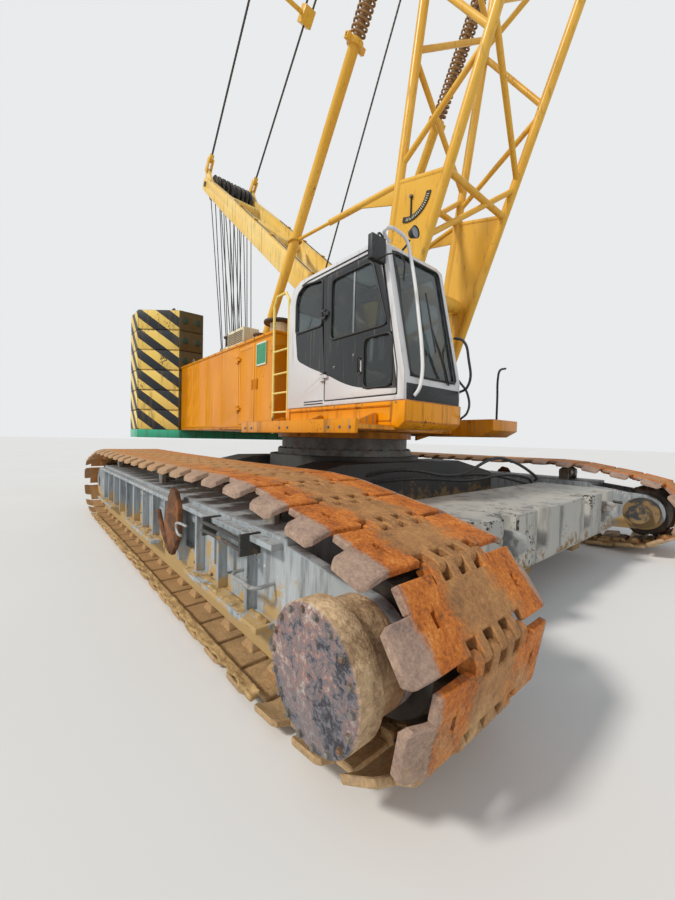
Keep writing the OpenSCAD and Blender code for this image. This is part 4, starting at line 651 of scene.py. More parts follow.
plate_half, tab_in, plate_thick, hinge_half = 0.115, 0.430, 0.038, 0.229
shoe = block("shoe_master", (0, 0, 0.026), (2 * plate_half, 2 * tab_in, plate_thick))
bpy.ops.object.mode_set(mode="EDIT")
# cuts beside each finger and each hole
for across in (0.029, 0.035, 0.093, 0.099, 0.157, 0.163, 0.221, hinge_half, 0.315, 0.345):
    for y in (-across, across):
        bpy.ops.mesh.select_all(action="SELECT")
        bpy.ops.mesh.bisect(plane_co=(0, y, 0), plane_no=(0, 1, 0))
for along in (-0.082, -0.052, 0.052, 0.082):
    bpy.ops.mesh.select_all(action="SELECT")
    bpy.ops.mesh.bisect(plane_co=(along, 0, 0), plane_no=(1, 0, 0))
# the four square holes
pick(shoe, lambda c, n: n.z > 0.9 and 0.316 < abs(c.y) < 0.344 and 0.053 < abs(c.x) < 0.081)
extrude(0, 0, -0.034)
# outside the hinge the plate reaches nearly to its neighbours
for end in (-1, 1):
    pick(shoe, lambda c, n: n.x * end > 0.9 and abs(c.y) > hinge_half)
    extrude(end * 0.052, 0, 0)
# fingers over the pin, four ahead and three behind, staggered so that neighbours lock
for end, rows in ((1, (-0.192, -0.064, 0.064, 0.192)), (-1, (-0.128, 0.0, 0.128))):
    pick(shoe, lambda c, n: n.x * end > 0.9 and any(abs(c.y - row) < 0.004 for row in rows))
    for reach, fall in ((0.060, 0.0), (0.028, -0.006), (0.016, -0.016)):
        extrude(end * reach, 0, fall)
    # the boss under each finger that the pin runs through
    pick(shoe, lambda c, n: n.z < -0.9 and 0.12 < c.x * end < 0.20
         and any(abs(c.y - row) < 0.004 for row in rows))
    extrude(0, 0, -0.045)
# the bent-down tabs on the trailing part, and a short shoulder on the leading part
for side in (-1, 1):
    pick(shoe, lambda c, n: n.y * side > 0.9 and c.y * side > 0.425 and c.x < 0.06)
    extrude(0, side * 0.030, -0.005)
    extrude(0, side * 0.068, -0.024)
    extrude(0, side * 0.028, -0.015)
    bpy.ops.transform.resize(value=(0.80, 1, 1), center_override=(-0.050, side * 0.556, 0))
    pick(shoe, lambda c, n: n.y * side > 0.9 and 0.425 < c.y * side < 0.435 and c.x > 0.06)
    extrude(0, side * 0.022, -0.002)
bpy.ops.mesh.select_all(action="SELECT")
bpy.ops.mesh.dissolve_limited(angle_limit=math.radians(0.5))
bpy.ops.object.mode_set(mode="OBJECT")
paint(shoe, shoe_rust)
bevelled(shoe, 0.006, 1)

for hand, side in hands:
    places = []
    for k in range(shoe_count):
        a, b = pins[k], pins[(k + 1) % shoe_count]
        u = (b - a).normalized()
        middle = (a + b) / 2
        # X along the run, Z outwards, and Y as it falls
        turned = Matrix(((u.x, 0, u.y, 0), (0, 1, 0, 0), (u.y, 0, -u.x, 0), (0, 0, 0, 1)))
        stretch = Matrix.Diagonal(((b - a).length / pitch, 1, 1, 1))
        places.append(at(middle.x, side * track_centre, middle.y) @ turned @ stretch)
    master = shoe.copy()
    master.data = shoe.data.copy()
    loop = copies("track_shoes_" + hand, master, places, "base")
    only(loop)
    bpy.ops.object.mode_set(mode="EDIT")
    bpy.ops.mesh.select_all(action="SELECT")
    bpy.ops.mesh.normals_make_consistent(inside=False)
    bpy.ops.object.mode_set(mode="OBJECT")
    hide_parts("track_" + hand)
    # pins, and the ribs on the inside of each shoe that the rollers run between
    bpy.ops.mesh.primitive_cylinder_add(vertices=12, radius=0.022, depth=0.44)
    pin = bpy.context.object
    pin.data.transform(turn(90, "X"))
    bpy.ops.object.mode_set(mode="EDIT")
    pick(pin, lambda c, n: abs(n.y) > 0.9)
    bpy.ops.mesh.inset(thickness=0.006)
    bpy.ops.object.mode_set(mode="OBJECT")
    paint(pin, cast_iron("worn_pin_steel_" + hand, "#5A5048", "#8A7C6C", "#8A5A36", rough=0.6, rusty=0.4))
    copies("track_pins_" + hand, pin, [at(p.x, side * track_centre, p.y) for p in pins], "base")
    rib = block("rib", (0, 0, -0.02), (0.17, 0.62, 0.055))
    bpy.ops.object.mode_set(mode="EDIT")
    pick(rib, lambda c, n: n.z < -0.9)
    bpy.ops.transform.resize(value=(0.55, 0.92, 1))
    bpy.ops.object.mode_set(mode="OBJECT")
    paint(rib, shoe_rust)
    bevelled(rib, 0.006, 1)
    copies("shoe_ribs_" + hand, rib, places, "base")
bpy.data.objects.remove(shoe)


# Wheels of the track: cast drive tumblers in front, idlers behind, rollers below and above, greasy and dusty.
# The final drive's cover is turned steel, its mottled face ringed with bolts, its drum wall caked with mud.
greasy_iron = cast_iron("greasy_cast_iron", "#2C2A28", "#4C463E", "#6E5136", rough=0.6, rusty=0.35)
rail_iron = cast_iron("polished_roller_iron", "#6B655C", "#A39A8A", "#7A5B3E", rough=0.4, rusty=0.3)
for node in ("drive_tumblers", "idlers"):
    paint(frame["nodes"][node], greasy_iron)
for node in ("lower_rollers", "upper_rollers"):
    paint(frame["nodes"][node], rail_iron)
paint(frame["nodes"]["drive_motors"], chassis_black)

cover_face, tree, skin, place = blank("mottled_cover_steel")
axes = put(tree, "SeparateXYZ", {}, {"Vector": place})
# flakes of 10 to 30 mm where paint has come off in layers
flake = put(tree, "TexNoise", {"Scale": 34.0, "Detail": 9.0, "Roughness": 0.78, "Distortion": 0.6},
            {"Vector": place})
broad = put(tree, "TexNoise", {"Scale": 5.0, "Detail": 5.0, "Roughness": 0.65}, {"Vector": place})
mixed = put(tree, "Mix", {"data_type": "FLOAT", 0: 0.45}, {2: flake.outputs[0], 3: broad.outputs[0]})
tone = put(tree, "MapRange", {"From Min": 0.40, "From Max": 0.60}, {"Value": mixed.outputs[0]})
layers = put(tree, "ValToRGB", {}, {0: tone.outputs[0]})
ramp = layers.color_ramp
ramp.interpolation = "CONSTANT"
ramp.elements[0].position, ramp.elements[0].color = 0.0, linear("#3C3A40")
ramp.elements[1].position, ramp.elements[1].color = 0.86, linear("#C9BFB2")
for spot, code in ((0.22, "#707078"), (0.40, "#978683"), (0.60, "#A05E54"), (0.67, "#B8A096")):
    ramp.elements.new(spot).color = linear(code)
# the lower middle is bare blue-grey steel
low = put(tree, "MapRange", {"From Min": 0.62, "From Max": 0.42, "To Max": 0.7}, {"Value": axes.outputs["Z"]})
low = put(tree, "Math", {"operation": "MULTIPLY"}, {0: low.outputs[0], 1: tone.outputs[0]})
steely = put(tree, "Mix", {"data_type": "RGBA", 7: linear("#7B8188")},
             {0: low.outputs[0], 6: layers.outputs[0]})
# red-orange stains
stain = put(tree, "TexNoise", {"Scale": 11.0, "Detail": 9.0, "Roughness": 0.8}, {"Vector": place})
stain = put(tree, "MapRange", {"From Min": 0.58, "From Max": 0.66, "To Max": 0.8},
            {"Value": stain.outputs[0]})
stained = put(tree, "Mix", {"data_type": "RGBA", 7: linear("#8A4322")},
              {0: stain.outputs[0], 6: steely.outputs[2]})
deep = put(tree, "Math", {"operation": "ABSOLUTE"}, {0: axes.outputs["Y"]})
deep = put(tree, "MapRange", {"From Min": 3.452, "From Max": 3.440, "To Max": 0.95},
           {"Value": deep.outputs[0]})
soil = put(tree, "Mix", {"data_type": "RGBA", 6: linear("#937554"), 7: linear("#DFC094")},
           {0: tone.outputs[0]})
caked = put(tree, "Mix", {"data_type": "RGBA"}, {0: deep.outputs[0], 6: stained.outputs[2],
                                                 7: soil.outputs[2]})
tree.links.new(caked.outputs[2], skin.inputs["Base Color"])
skin.inputs["Roughness"].default_value = 0.7
# clods of mud stand up on the wall, and the flakes are a paint layer deep
clod = put(tree, "Math", {"operation": "MULTIPLY", 1: 6.0}, {0: broad.outputs[0]})
depth = put(tree, "Mix", {"data_type": "FLOAT"}, {0: deep.outputs[0], 2: tone.outputs[0], 3: clod.outputs[0]})
relief = put(tree, "Bump", {"Strength": 0.9, "Distance": 0.007}, {"Height": depth.outputs[0]})
tree.links.new(relief.outputs[0], skin.inputs["Normal"])
dressed("final_drives", "base", 0.004, cover_face, cover_face)
low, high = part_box("final_drives")
cover_circle = 0.262
for (hand, out), face in zip(hands, (low.y, high.y)):
    hub = at(tumbler_x, face - out * 0.010, tumbler_z)
    copies("cover_bolts_" + hand, bolt(0.012, 0.014, bolt_steel),
           [hub @ turn(a, "Y") @ at(cover_circle, 0, 0) @ turn(-90 * out, "X") for a in range(0, 360, 20)],
           "base")


# Turning frame: two plate girders with the boom-foot and mast-foot brackets and the drum plates welded on,
# under a steel deck. Orange enamel, dull with grease and dust where no rain reaches it.
deck_orange = worn_paint("greasy_orange_deck_enamel", "#D9820F", "#E2942A", "#4A3520", "#4E3B2A", dirty=0.85,
                         chipped=0.55, rough=(0.35, 0.8), streak=(7, 7, 1.4))
deck_edge = worn_paint("rubbed_orange_edge", "#B9711A", "#D9820F", "#5A4228", "#5E4630", dirty=0.7,
                       chipped=1.0)
pin_steel = cast_iron("greased_pin_steel", "#5A5752", "#8E8A82", "#6B4A30", rough=0.4, rusty=0.25, scale=14)
dressed("turning_frame", "upper", 0.006, deck_orange, deck_edge)
# three bolts round the end of each boom-foot and mast-foot pin
(boom_foot_x, boom_foot_z), (mast_foot_x, mast_foot_z) = (1.35, 2.10), (0.90, 3.10)
keeper_places = []
for side in (-1, 1):
    for x, z in ((boom_foot_x, boom_foot_z), (mast_foot_x, mast_foot_z)):
        keeper_places += [at(x, side * 0.757, z) @ turn(-90 * side, "X") @ turn(a, "Z") @ at(0.038, 0, 0)
                          for a in (0, 120, 240)]
copies("pin_keeper_bolts", bolt(0.010, 0.012, bolt_steel), keeper_places, "upper")


# Winch drums: cast barrels between flanges on a shaft, each wound with one layer of greased wire rope.
# The winding is a ridged sleeve over the barrel, one ridge for each turn of rope.
def winding(name, x, z, barrel, half_length, rope, coat):
    """Rope wound on a drum: a wavy line along the barrel, spun round its axis."""
    turns = int(2 * half_length / rope)
    bpy.ops.mesh.primitive_circle_add(vertices=3, radius=1, fill_type="NOTHING")
    sleeve = bpy.context.object
    sleeve.name = name
    outline = []
    for k in range(turns):
        y = -half_length + rope * (k + 0.5)
        for part, lift in ((-0.5, 0.10), (-0.25, 0.80), (0.0, 1.0), (0.25, 0.80)):
            outline.append((x, y + part * rope, z + barrel + rope * lift))
    outline = [(x, -half_length, z + barrel * 0.97)] + outline + [(x, half_length, z + barrel * 0.97)]
    line = bmesh.new()
    knots = [line.verts.new(p) for p in outline]
    for a, b in zip(knots, knots[1:]):
        line.edges.new((a, b))
    line.to_mesh(sleeve.data)
    line.free()
    only(sleeve)
    bpy.ops.object.mode_set(mode="EDIT")
    bpy.ops.mesh.select_all(action="SELECT")
    bpy.ops.mesh.spin(steps=40, angle=math.radians(360), center=(x, 0, z), axis=(0, 1, 0))
    bpy.ops.mesh.select_all(action="SELECT")
    bpy.ops.mesh.remove_doubles(threshold=0.0005)
    bpy.ops.mesh.normals_make_consistent(inside=False)
    bpy.ops.object.mode_set(mode="OBJECT")
    bpy.ops.object.shade_smooth()
    paint(sleeve, coat)
    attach(sleeve, "upper")


drum_iron = cast_iron("painted_drum_iron", "#3A3B3C", "#55534E", "#6B4A30", rough=0.55, rusty=0.3)
wire_wound = cast_iron("greased_wound_wire_rope", "#25221F", "#5A544B", "#6B4A2C", rough=0.5, rusty=0.2,
                       scale=40)
drum_z, drum_half, rope_pitch = 2.42, 0.322, 0.028
for node, x, barrel in (("main_drum", -0.30, 0.33), ("auxiliary_drum", -1.45, 0.33),
                        ("boom_hoist_drum", -2.60, 0.28)):
    paint(frame["nodes"][node], drum_iron)
    winding(node + "_rope", x, drum_z, barrel, drum_half, rope_pitch, wire_wound)


# Houses: pressed steel cabinets over the engine and the pumps, in glossy orange enamel with a drip rail and
# panel joints. Two leaves hang on the right house, each with a latch, and the front one carries a blank
# plate.
def gloss_enamel(name, colour, faded, dirty=0.42, chipped=0.25):
    """Orange enamel over pressed sheet: bright and glossy, a little wavy, with thin brown runs."""
    return worn_paint(name, colour, faded, "#8A5A22", "#5E4632", dirty=dirty, chipped=chipped,
                      rough=(0.20, 0.6), streak=(22, 22, 1.1), dent=0.010)


house_orange = gloss_enamel("glossy_orange_house_enamel", "#DE8A04", "#E8970E")
house_edge = gloss_enamel("rubbed_orange_house_edge", "#E89C1C", "#D2820A", 0.5, 0.6)
radiator_dark = moulded("sooty_radiator_core", "#1D1D1D", "#3A3733", 0.85)
flat_plate("radiator_core", [(-3.35, 1.86), (-2.15, 1.86), (-2.15, 2.86), (-3.35, 2.86)], 1.50, 0.03,
           radiator_dark, "upper")
for node in ("house_right", "house_left"):
    dressed(node, "upper", 0.005, house_orange, house_edge)
for node in ("house_door_front", "house_door_rear"):
    dressed(node, node, 0.004, house_orange, house_edge)
engine_paint = worn_paint("oily_grey_engine_paint", "#6D7470", "#7E8480", "#1F1B17", "#4A453E", dirty=0.9,
                          chipped=0.5, rough=(0.3, 0.6))
paint(frame["nodes"]["engine"], engine_paint)
latch_black = moulded("black_latch_zinc", "#26282A", "#55534F", 0.45, 60, 0.4)
for node, x in (("house_door_front", -0.245), ("house_door_rear", -0.375)):
    latch = block(node + "_latch", (x, -1.606, 2.36), (0.062, 0.014, 0.150))
    bpy.ops.object.mode_set(mode="EDIT")
    pick(latch, lambda c, n: n.y < -0.9)
    bpy.ops.mesh.inset(thickness=0.012)
    extrude(0, 0.006, 0)
    bpy.ops.mesh.inset(thickness=0.010)
    extrude(0, -0.010, 0)
    bpy.ops.object.mode_set(mode="OBJECT")
    paint(latch, house_edge)
    bevelled(latch, 0.002)
    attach(latch, node)
# the plate: green enamel with a raised pale border, nothing on it
plate_green = moulded("green_enamelled_plate", "#2E8A5E", "#3E9A6C", 0.3, 9)
plate_pale = moulded("pale_plate_border", "#DDE2CE", "#B9BEA6", 0.4, 14)
plate_x, plate_z, plate_wide, plate_high = -0.10, 2.79, 0.30, 0.34
plaque = block("blank_green_plate", (plate_x, -1.6035, plate_z), (plate_wide, 0.007, plate_high))
bpy.ops.object.mode_set(mode="EDIT")
pick(plaque, lambda c, n: n.y < -0.9)
bpy.ops.mesh.inset(thickness=0.010)
bpy.ops.mesh.inset(thickness=0.012)
extrude(0, 0.002, 0)
bpy.ops.object.mode_set(mode="OBJECT")
paint(plaque, plate_green, plate_pale)
for face in plaque.data.polygons:
    off = max(abs(face.center.x - plate_x) / (plate_wide / 2),
              abs(face.center.z - plate_z) / (plate_high / 2))
    border = face.normal.y < -0.9 and off > 0.90 and face.area < 0.012 and abs(face.center.y + 1.607) < 0.0006
    face.material_index = 1 if border else 0
only(plaque)
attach(plaque, "house_door_front")
copies("plate_rivets", bolt(0.005, 0.004, plate_pale),
       [at(plate_x + dx, -1.607, plate_z + dz) @ turn(90, "X") for dx in (-0.140, 0.140)
        for dz in (-0.160, 0.160)], "house_door_front")
# bolt heads along the drip rail, and lifting eyes on the roof
drip_rail_y, drip_rail_z = 1.615, 3.045
copies("roof_edge_bolts", bolt(0.009, 0.010, bolt_steel),
       [at(-3.6 + 0.30 * i, side * drip_rail_y, drip_rail_z) @ turn(-90 * side, "X")
        for side, count in ((-1, 13), (1, 15)) for i in range(count)], "upper")
for x in (-3.2, -1.75):
    for hand, side in hands:
        hose(f"roof_eye_{hand}_{int(abs(x) * 10)}",
             [(x + dx, side * 1.52, z)
              for dx, z in ((-0.05, 3.068), (-0.045, 3.13), (0, 3.165), (0.045, 3.13), (0.05, 3.068))],
             0.010, pin_steel, "upper")


# Roof fittings: pressed air-intake caps with broad dark lids, an exhaust pipe, and louvred boxes in cream
# paint. They are bolted to the roof sheet, and soot has darkened the lids and the pipe.
cream_enamel = worn_paint("cream_intake_enamel", "#E6DDBE", "#D9CDA6", "#6B5C40", "#7A6A4C", dirty=0.75,
                          chipped=0.4)
lid_dark = cast_iron("sooty_cap_steel", "#2A2622", "#4A3C30", "#6E4A2E", rough=0.6, rusty=0.6, scale=9)
roof = dressed("roof_fittings", "upper", 0.010, cream_enamel, lid_dark)
for face in roof.data.polygons:
    c = face.center
    pipe = c.x < -1.99
    cap = -0.70 < c.x < 0.25 and c.y > -1.57
    lid_low = 3.155 if c.x < -0.40 else 3.265
    face.material_index = 1 if pipe or (cap and c.z > lid_low) else 0
slat_pitch = 0.028
for x0, x1, y, z0, z1 in ((-1.32, -0.78, -1.5835, 3.11, 3.31), (-1.92, -1.45, -1.4835, 3.09, 3.165)):
    slat = block("slat", ((x0 + x1) / 2, y + 0.004, z0 + 0.012), (x1 - x0, 0.012, 0.014))
    bpy.ops.object.mode_set(mode="EDIT")
    pick(slat, lambda c, n: n.y < -0.9)
    bpy.ops.transform.translate(value=(0, 0, -0.006))
    bpy.ops.object.mode_set(mode="OBJECT")
    paint(slat, lid_dark)
    copies(f"grille_slats_{int(abs(x0) * 100)}", slat,
           [at(0, 0, slat_pitch * k) for k in range(int((z1 - z0) / slat_pitch))], "upper")
paint(frame["nodes"]["backstop_seats"], house_orange)


# Walkways and the platform: folded tread plate bolted on brackets, orange, its raised ribs worn through to
# grey steel.
def tread_plate(tree, place, coat):
    """Orange wearing to steel on top of diagonal ribs, drawn 60 mm apart so that they show."""
    turned = put(tree, "Mapping", {"Rotation": (0, 0, 0.785)}, {"Vector": place})
    ribs = put(tree, "TexWave", {"Scale": 5.2, "Distortion": 0.0}, {"Vector": turned.outputs[0]})
    rubbed = put(tree, "TexNoise", {"Scale": 3.0, "Detail": 5.0}, {"Vector": place})
    share = put(tree, "Math", {"operation": "MULTIPLY"}, {0: ribs.outputs["Fac"], 1: rubbed.outputs[0]})
    share = put(tree, "MapRange", {"From Min": 0.42, "From Max": 0.56, "To Max": 0.6},
                {"Value": share.outputs[0]})
    return put(tree, "Mix", {"data_type": "RGBA", 7: linear("#8A8478")},
               {0: share.outputs[0], 6: coat.outputs[2]})


walk_orange = worn_paint("orange_tread_plate", "#D8860A", "#E29514", "#6A4A26", "#4E3B2A", dirty=0.6,
                         chipped=0.6, rough=(0.3, 0.7), marking=tread_plate)
dressed("walkways", "upper", 0.005, walk_orange, deck_edge)
copies("walkway_bolts", bolt(0.011, 0.012, bolt_steel),
       [at(x, -2.2, 1.655) @ turn(90, "X") for x in (0.62, 0.78, 1.42, 1.58, 2.26, 2.42, 2.55)],
       "upper")
hose("platform_post", [(2.24, 1.00, 1.875), (2.24, 1.00, 2.20), (2.24, 1.00, 2.50), (2.245, 1.03, 2.60),
                       (2.25, 1.20, 2.66)], 0.016, latch_black, "upper")


# Ladder behind the cab: one bent tube in pale yellow paint with welded rungs, held off the cab and the house
# by welded stand-offs.
rail_yellow = worn_paint("pale_yellow_rail_paint", "#E9CF6A", "#F0DC8E", "#7A6234", "#6A563A", dirty=0.45,
                         chipped=0.9, rough=(0.3, 0.6), dent=0.001)
paint(frame["nodes"]["ladder"], rail_yellow)


# Cab: a welded steel box on rubber mounts, white-grey enamel with a charcoal band round its side windows, on
# a folded orange base. Dirt has run down from the seams.
cab_middle, cab_right, cab_left = -1.245, -1.70, -0.79


def charcoal_band(tree, place, coat):
    """Charcoal inside a curved edge on both sides of the cab, up to the white front pillar and roof."""
    axes = put(tree, "SeparateXYZ", {}, {"Vector": place})
    along = put(tree, "MapRange", {"From Min": 0.95, "From Max": 2.65}, {"Value": axes.outputs["X"]})
    edge = put(tree, "FloatCurve", {}, {"Value": along.outputs[0]})
    line = edge.mapping.curves[0]
    knots = [(0.95, 2.87), (0.98, 2.65), (1.01, 2.52), (1.15, 2.44), (1.56, 2.28), (1.99, 2.11), (2.25, 2.06),
             (2.65, 2.03)]
    knots = [((x - 0.95) / 1.70, z - 2.0) for x, z in knots]
    line.points[0].location, line.points[1].location = knots[0], knots[-1]
    for knot in knots[1:-1]:
        line.points.new(*knot)
    edge.mapping.update()
    above = put(tree, "MapRange", {"To Min": 2.0, "To Max": 3.0}, {"Value": edge.outputs[0]})
    # above the curve, behind the sloping front pillar, ahead of the rear wall and its cut corner, below the
    # roof, and only on the two sides
    tests = [put(tree, "Math", {"operation": "GREATER_THAN"}, {0: axes.outputs["Z"], 1: above.outputs[0]})]
    front = put(tree, "Math", {"operation": "MULTIPLY_ADD", 1: 0.1727},
                {0: axes.outputs["Z"], 2: axes.outputs["X"]})
    tests.append(put(tree, "Math", {"operation": "LESS_THAN", 1: 2.985}, {0: front.outputs[0]}))
    tests.append(put(tree, "Math", {"operation": "GREATER_THAN", 1: 0.955}, {0: axes.outputs["X"]}))
    corner = put(tree, "Math", {"operation": "MULTIPLY_ADD", 1: -1.2},
                 {0: axes.outputs["X"], 2: axes.outputs["Z"]})
    tests.append(put(tree, "Math", {"operation": "LESS_THAN", 1: 2.06}, {0: corner.outputs[0]}))
    tests.append(put(tree, "Math", {"operation": "LESS_THAN", 1: 3.395}, {0: axes.outputs["Z"]}))
    wide = put(tree, "Math", {"operation": "ADD", 1: -cab_middle}, {0: axes.outputs["Y"]})
    wide = put(tree, "Math", {"operation": "ABSOLUTE"}, {0: wide.outputs[0]})
    tests.append(put(tree, "Math", {"operation": "GREATER_THAN", 1: 0.44}, {0: wide.outputs[0]}))
    share = tests[0]
    for test in tests[1:]:
        share = put(tree, "Math", {"operation": "MULTIPLY"}, {0: share.outputs[0], 1: test.outputs[0]})
    return put(tree, "Mix", {"data_type": "RGBA", 7: linear("#36393B")},
               {0: share.outputs[0], 6: coat.outputs[2]})


cab_white = worn_paint("white_grey_cab_enamel", "#CFD0D2", "#DADAD8", "#857C6E", "#6B5E50", dirty=0.30,
                       chipped=0.10, rough=(0.22, 0.6), streak=(26, 26, 1.3), dent=0.003,
                       marking=charcoal_band)
cab_seam = worn_paint("cab_edge_enamel", "#C6C7C9", "#B8B9BB", "#7A7266", "#6B5E50", dirty=0.6, chipped=0.2,
                      rough=(0.25, 0.6), marking=charcoal_band)
base_orange = worn_paint("glossy_orange_base_enamel", "#E68F04", "#EE9E12", "#4A2F18", "#4A3526", dirty=0.62,
                         chipped=0.45, rough=(0.22, 0.7), streak=(18, 18, 1.6))
dressed("cab_shell", "upper", 0.006, cab_white, cab_seam)
dressed("cab_door", "cab_door", 0.005, cab_white, cab_seam)
dressed("cab_base", "upper", 0.012, base_orange, deck_edge)


# Glazing: tinted laminated glass, dusty in patches, cut to each opening and held in black rubber seals. The
# sash bar, the door's handle and lock, the sill and the wiper are fixed round it.
tinted, tree, skin, place = blank("smoke_tinted_cab_glass")
film = put(tree, "TexNoise", {"Scale": 5.0, "Detail": 8.0, "Roughness": 0.7}, {"Vector": place})
film = put(tree, "MapRange", {"From Min": 0.48, "From Max": 0.74}, {"Value": film.outputs[0]})
tone = put(tree, "Mix", {"data_type": "RGBA", 6: linear("#8E999B"), 7: linear("#A4A9A2")},
           {0: film.outputs[0]})
tree.links.new(tone.outputs[2], skin.inputs["Base Color"])
dull = put(tree, "MapRange", {"To Min": 0.02, "To Max": 0.16}, {"Value": film.outputs[0]})
tree.links.new(dull.outputs[0], skin.inputs["Roughness"])
skin.inputs["Transmission Weight"].default_value = 0.94
skin.inputs["IOR"].default_value = 1.45
paint(frame["nodes"]["cab_glass"], tinted)
paint(frame["nodes"]["door_glass"], tinted)


def rounded(outline, radius, steps=4):
    """A closed outline of 3-D points with each corner drawn as a short curve."""
    made = []
    for i, here in enumerate(outline):
        here, back, on = Vector(here), Vector(outline[i - 1]), Vector(outline[(i + 1) % len(outline)])
        a, b = here + (back - here).normalized() * radius, here + (on - here).normalized() * radius
        for k in range(steps + 1):
            t = k / steps
            made.append(a * (1 - t) ** 2 + here * (2 * t * (1 - t)) + b * t ** 2)
    return made


seal_rubber = moulded("black_window_seal_rubber", "#17181A", "#34332F", 0.5, 40)


def seal(name, outline, corner, thick, body="upper", facets=12):
    """A rubber section laid in a closed loop, such as round a pane, with rounded corners."""
    hose(name, rounded(outline, corner), thick, seal_rubber, body, ring=facets,
         straight=True, closed=True)


windows = (
    ("quarter", "upper", cab_right, [(0.96, 2.84), (1.49, 2.84), (1.49, 3.36), (1.13, 3.40), (1.00, 3.33),
                                     (0.96, 3.22)], 0.05),
    ("door_upper", "cab_door", cab_right, [(1.65, 2.64), (2.49, 2.64), (2.28, 3.30), (1.65, 3.30)], 0.07),
    ("door_lower", "cab_door", cab_right, [(2.18, 2.06), (2.57, 2.06), (2.555, 2.56), (2.18, 2.56)], 0.08),
    ("left_rear", "upper", cab_left, [(0.96, 2.50), (1.56, 2.50), (1.56, 3.37), (1.13, 3.40), (0.96, 3.22)],
     0.05),
    ("left_front", "upper", cab_left, [(1.64, 2.30), (2.58, 2.30), (2.34, 3.37), (1.64, 3.37)], 0.07),
)
for name, body, y, outline, corner in windows:
    seal("seal_" + name, [(x, y, z) for x, z in outline], corner, 0.013, body)
low_right, low_left = (2.724, cab_right + 0.085, 2.15), (2.724, cab_left - 0.085, 2.15)
seal("seal_windscreen", [low_right, low_left, (2.458, cab_left - 0.085, 3.365),
                         (2.458, cab_right + 0.085, 3.365)], 0.06, 0.011)
seal("seal_rear", [(0.787, y, z) for y, z in ((cab_right + 0.13, 2.70), (cab_left - 0.13, 2.70),
                                              (cab_left - 0.13, 3.20), (cab_right + 0.13, 3.20))], 0.05,
     0.013)
seal("seal_roof", [(x, y, 3.482) for x, y in ((1.50, cab_right + 0.16), (2.15, cab_right + 0.16),
                                              (2.15, cab_left - 0.16), (1.50, cab_left - 0.16))], 0.05, 0.012)
# the gap round the door
seal("seal_door_edge",
     [(x, cab_right + 0.004, z)
      for x, z in ((1.555, 1.975), (2.63, 1.975), (2.625, 2.22), (2.398, 3.385), (1.555, 3.385))],
     0.03, 0.0075, facets=8)
# the upright bar between the two sliding panes of the door window
bar_grey = moulded("grey_anodised_window_bar", "#7F8386", "#A6A8A8", 0.4, 50, 0.6)
flat_plate("window_bar", [(1.996, 2.645), (2.022, 2.645), (2.022, 3.295), (1.996, 3.295)], cab_right + 0.006,
           0.022, bar_grey, "cab_door", 0.003)
# the pull handle in its pocket, the lock, and two vent slots low in the shell
hose("door_pull",
     [(2.130, cab_right + out, z)
      for out, z in ((0.016, 2.225), (-0.006, 2.245), (-0.008, 2.30), (-0.006, 2.355), (0.016, 2.375))],
     0.009, latch_black, "cab_door")
seal("door_pull_pocket",
     [(x, cab_right - 0.001, z) for x, z in ((2.095, 2.21), (2.165, 2.21), (2.165, 2.39), (2.095, 2.39))],
     0.03, 0.006, "cab_door", 8)
copies("door_lock", bolt(0.012, 0.008, bar_grey),
       [at(1.72, cab_right, 2.335) @ turn(90, "X"), at(2.03, cab_right, 2.42) @ turn(90, "X")], "cab_door")
for k, z in enumerate((1.945, 1.975)):
    flat_plate(f"vent_slot_{k}", [(1.16, z), (1.53, z), (1.53, z + 0.013), (1.16, z + 0.013)],
               cab_right - 0.0035, 0.012, seal_rubber, "upper", 0.002)
# black sill under the windscreen, with a lip
flat_plate("screen_sill", [(2.705, 1.925), (2.728, 1.925), (2.732, 1.99), (2.724, 2.075), (2.706, 2.075)],
           cab_right + 0.03, 0.85, latch_black, "upper", 0.004)
# rain gutter over the side windows
hose("roof_gutter", [(1.08, cab_right - 0.003, 3.408), (1.20, cab_right - 0.003, 3.428),
                     (2.36, cab_right - 0.003, 3.428)], 0.007, seal_rubber, "upper",
     straight=True)
# wiper: two arms from the sill and a blade flat on the glass
for name, points, thick, straight in (
    ("wiper_arm", [(2.742, -1.03, 2.11), (2.728, -1.10, 2.30), (2.640, -1.20, 2.66)], 0.007, False),
    ("wiper_arm_second", [(2.742, -1.06, 2.11), (2.728, -1.13, 2.30), (2.642, -1.22, 2.66)], 0.006, False),
    ("wiper_blade", [(2.700, -1.215, 2.42), (2.640, -1.213, 2.68), (2.555, -1.21, 3.04)], 0.009, True),
):
    hose(name, points, thick, latch_black, "upper", straight=straight)


# Rails, mirror and lamp outside the cab: a white tube rail bent round the front pillar, a mirror and a lamp
# on the roof's front corner, and a bent black bracket on the other side. All are bolted to the shell.
rail_white = worn_paint("white_tube_rail_enamel", "#D8D9DA", "#E6E6E4", "#857C6C", "#6B5E50", dirty=0.5,
                        chipped=0.5, rough=(0.3, 0.6), dent=0.001)
hose("front_tube_rail", [(2.40, -1.60, 3.475), (2.425, -1.70, 3.50), (2.462, -1.735, 3.51),
                         (2.485, -1.70, 3.535), (2.495, -1.60, 3.54), (2.520, -1.50, 3.49),
                         (2.545, -1.455, 3.33), (2.600, -1.45, 3.08), (2.680, -1.480, 2.74),
                         (2.757, -1.51, 2.36), (2.780, -1.53, 2.15), (2.768, -1.555, 2.02),
                         (2.735, -1.58, 1.96)], 0.017, rail_white, "upper", 14)
mirror_black = moulded("black_mirror_shell", "#1E2022", "#3E3D3A", 0.45, 26)
mirror_face = moulded("silvered_mirror_glass", "#9AA0A4", "#B4B9BC", 0.06, 6, 1.0)
mirror = block("side_mirror", (2.43, -1.80, 3.325), (0.055, 0.19, 0.23))
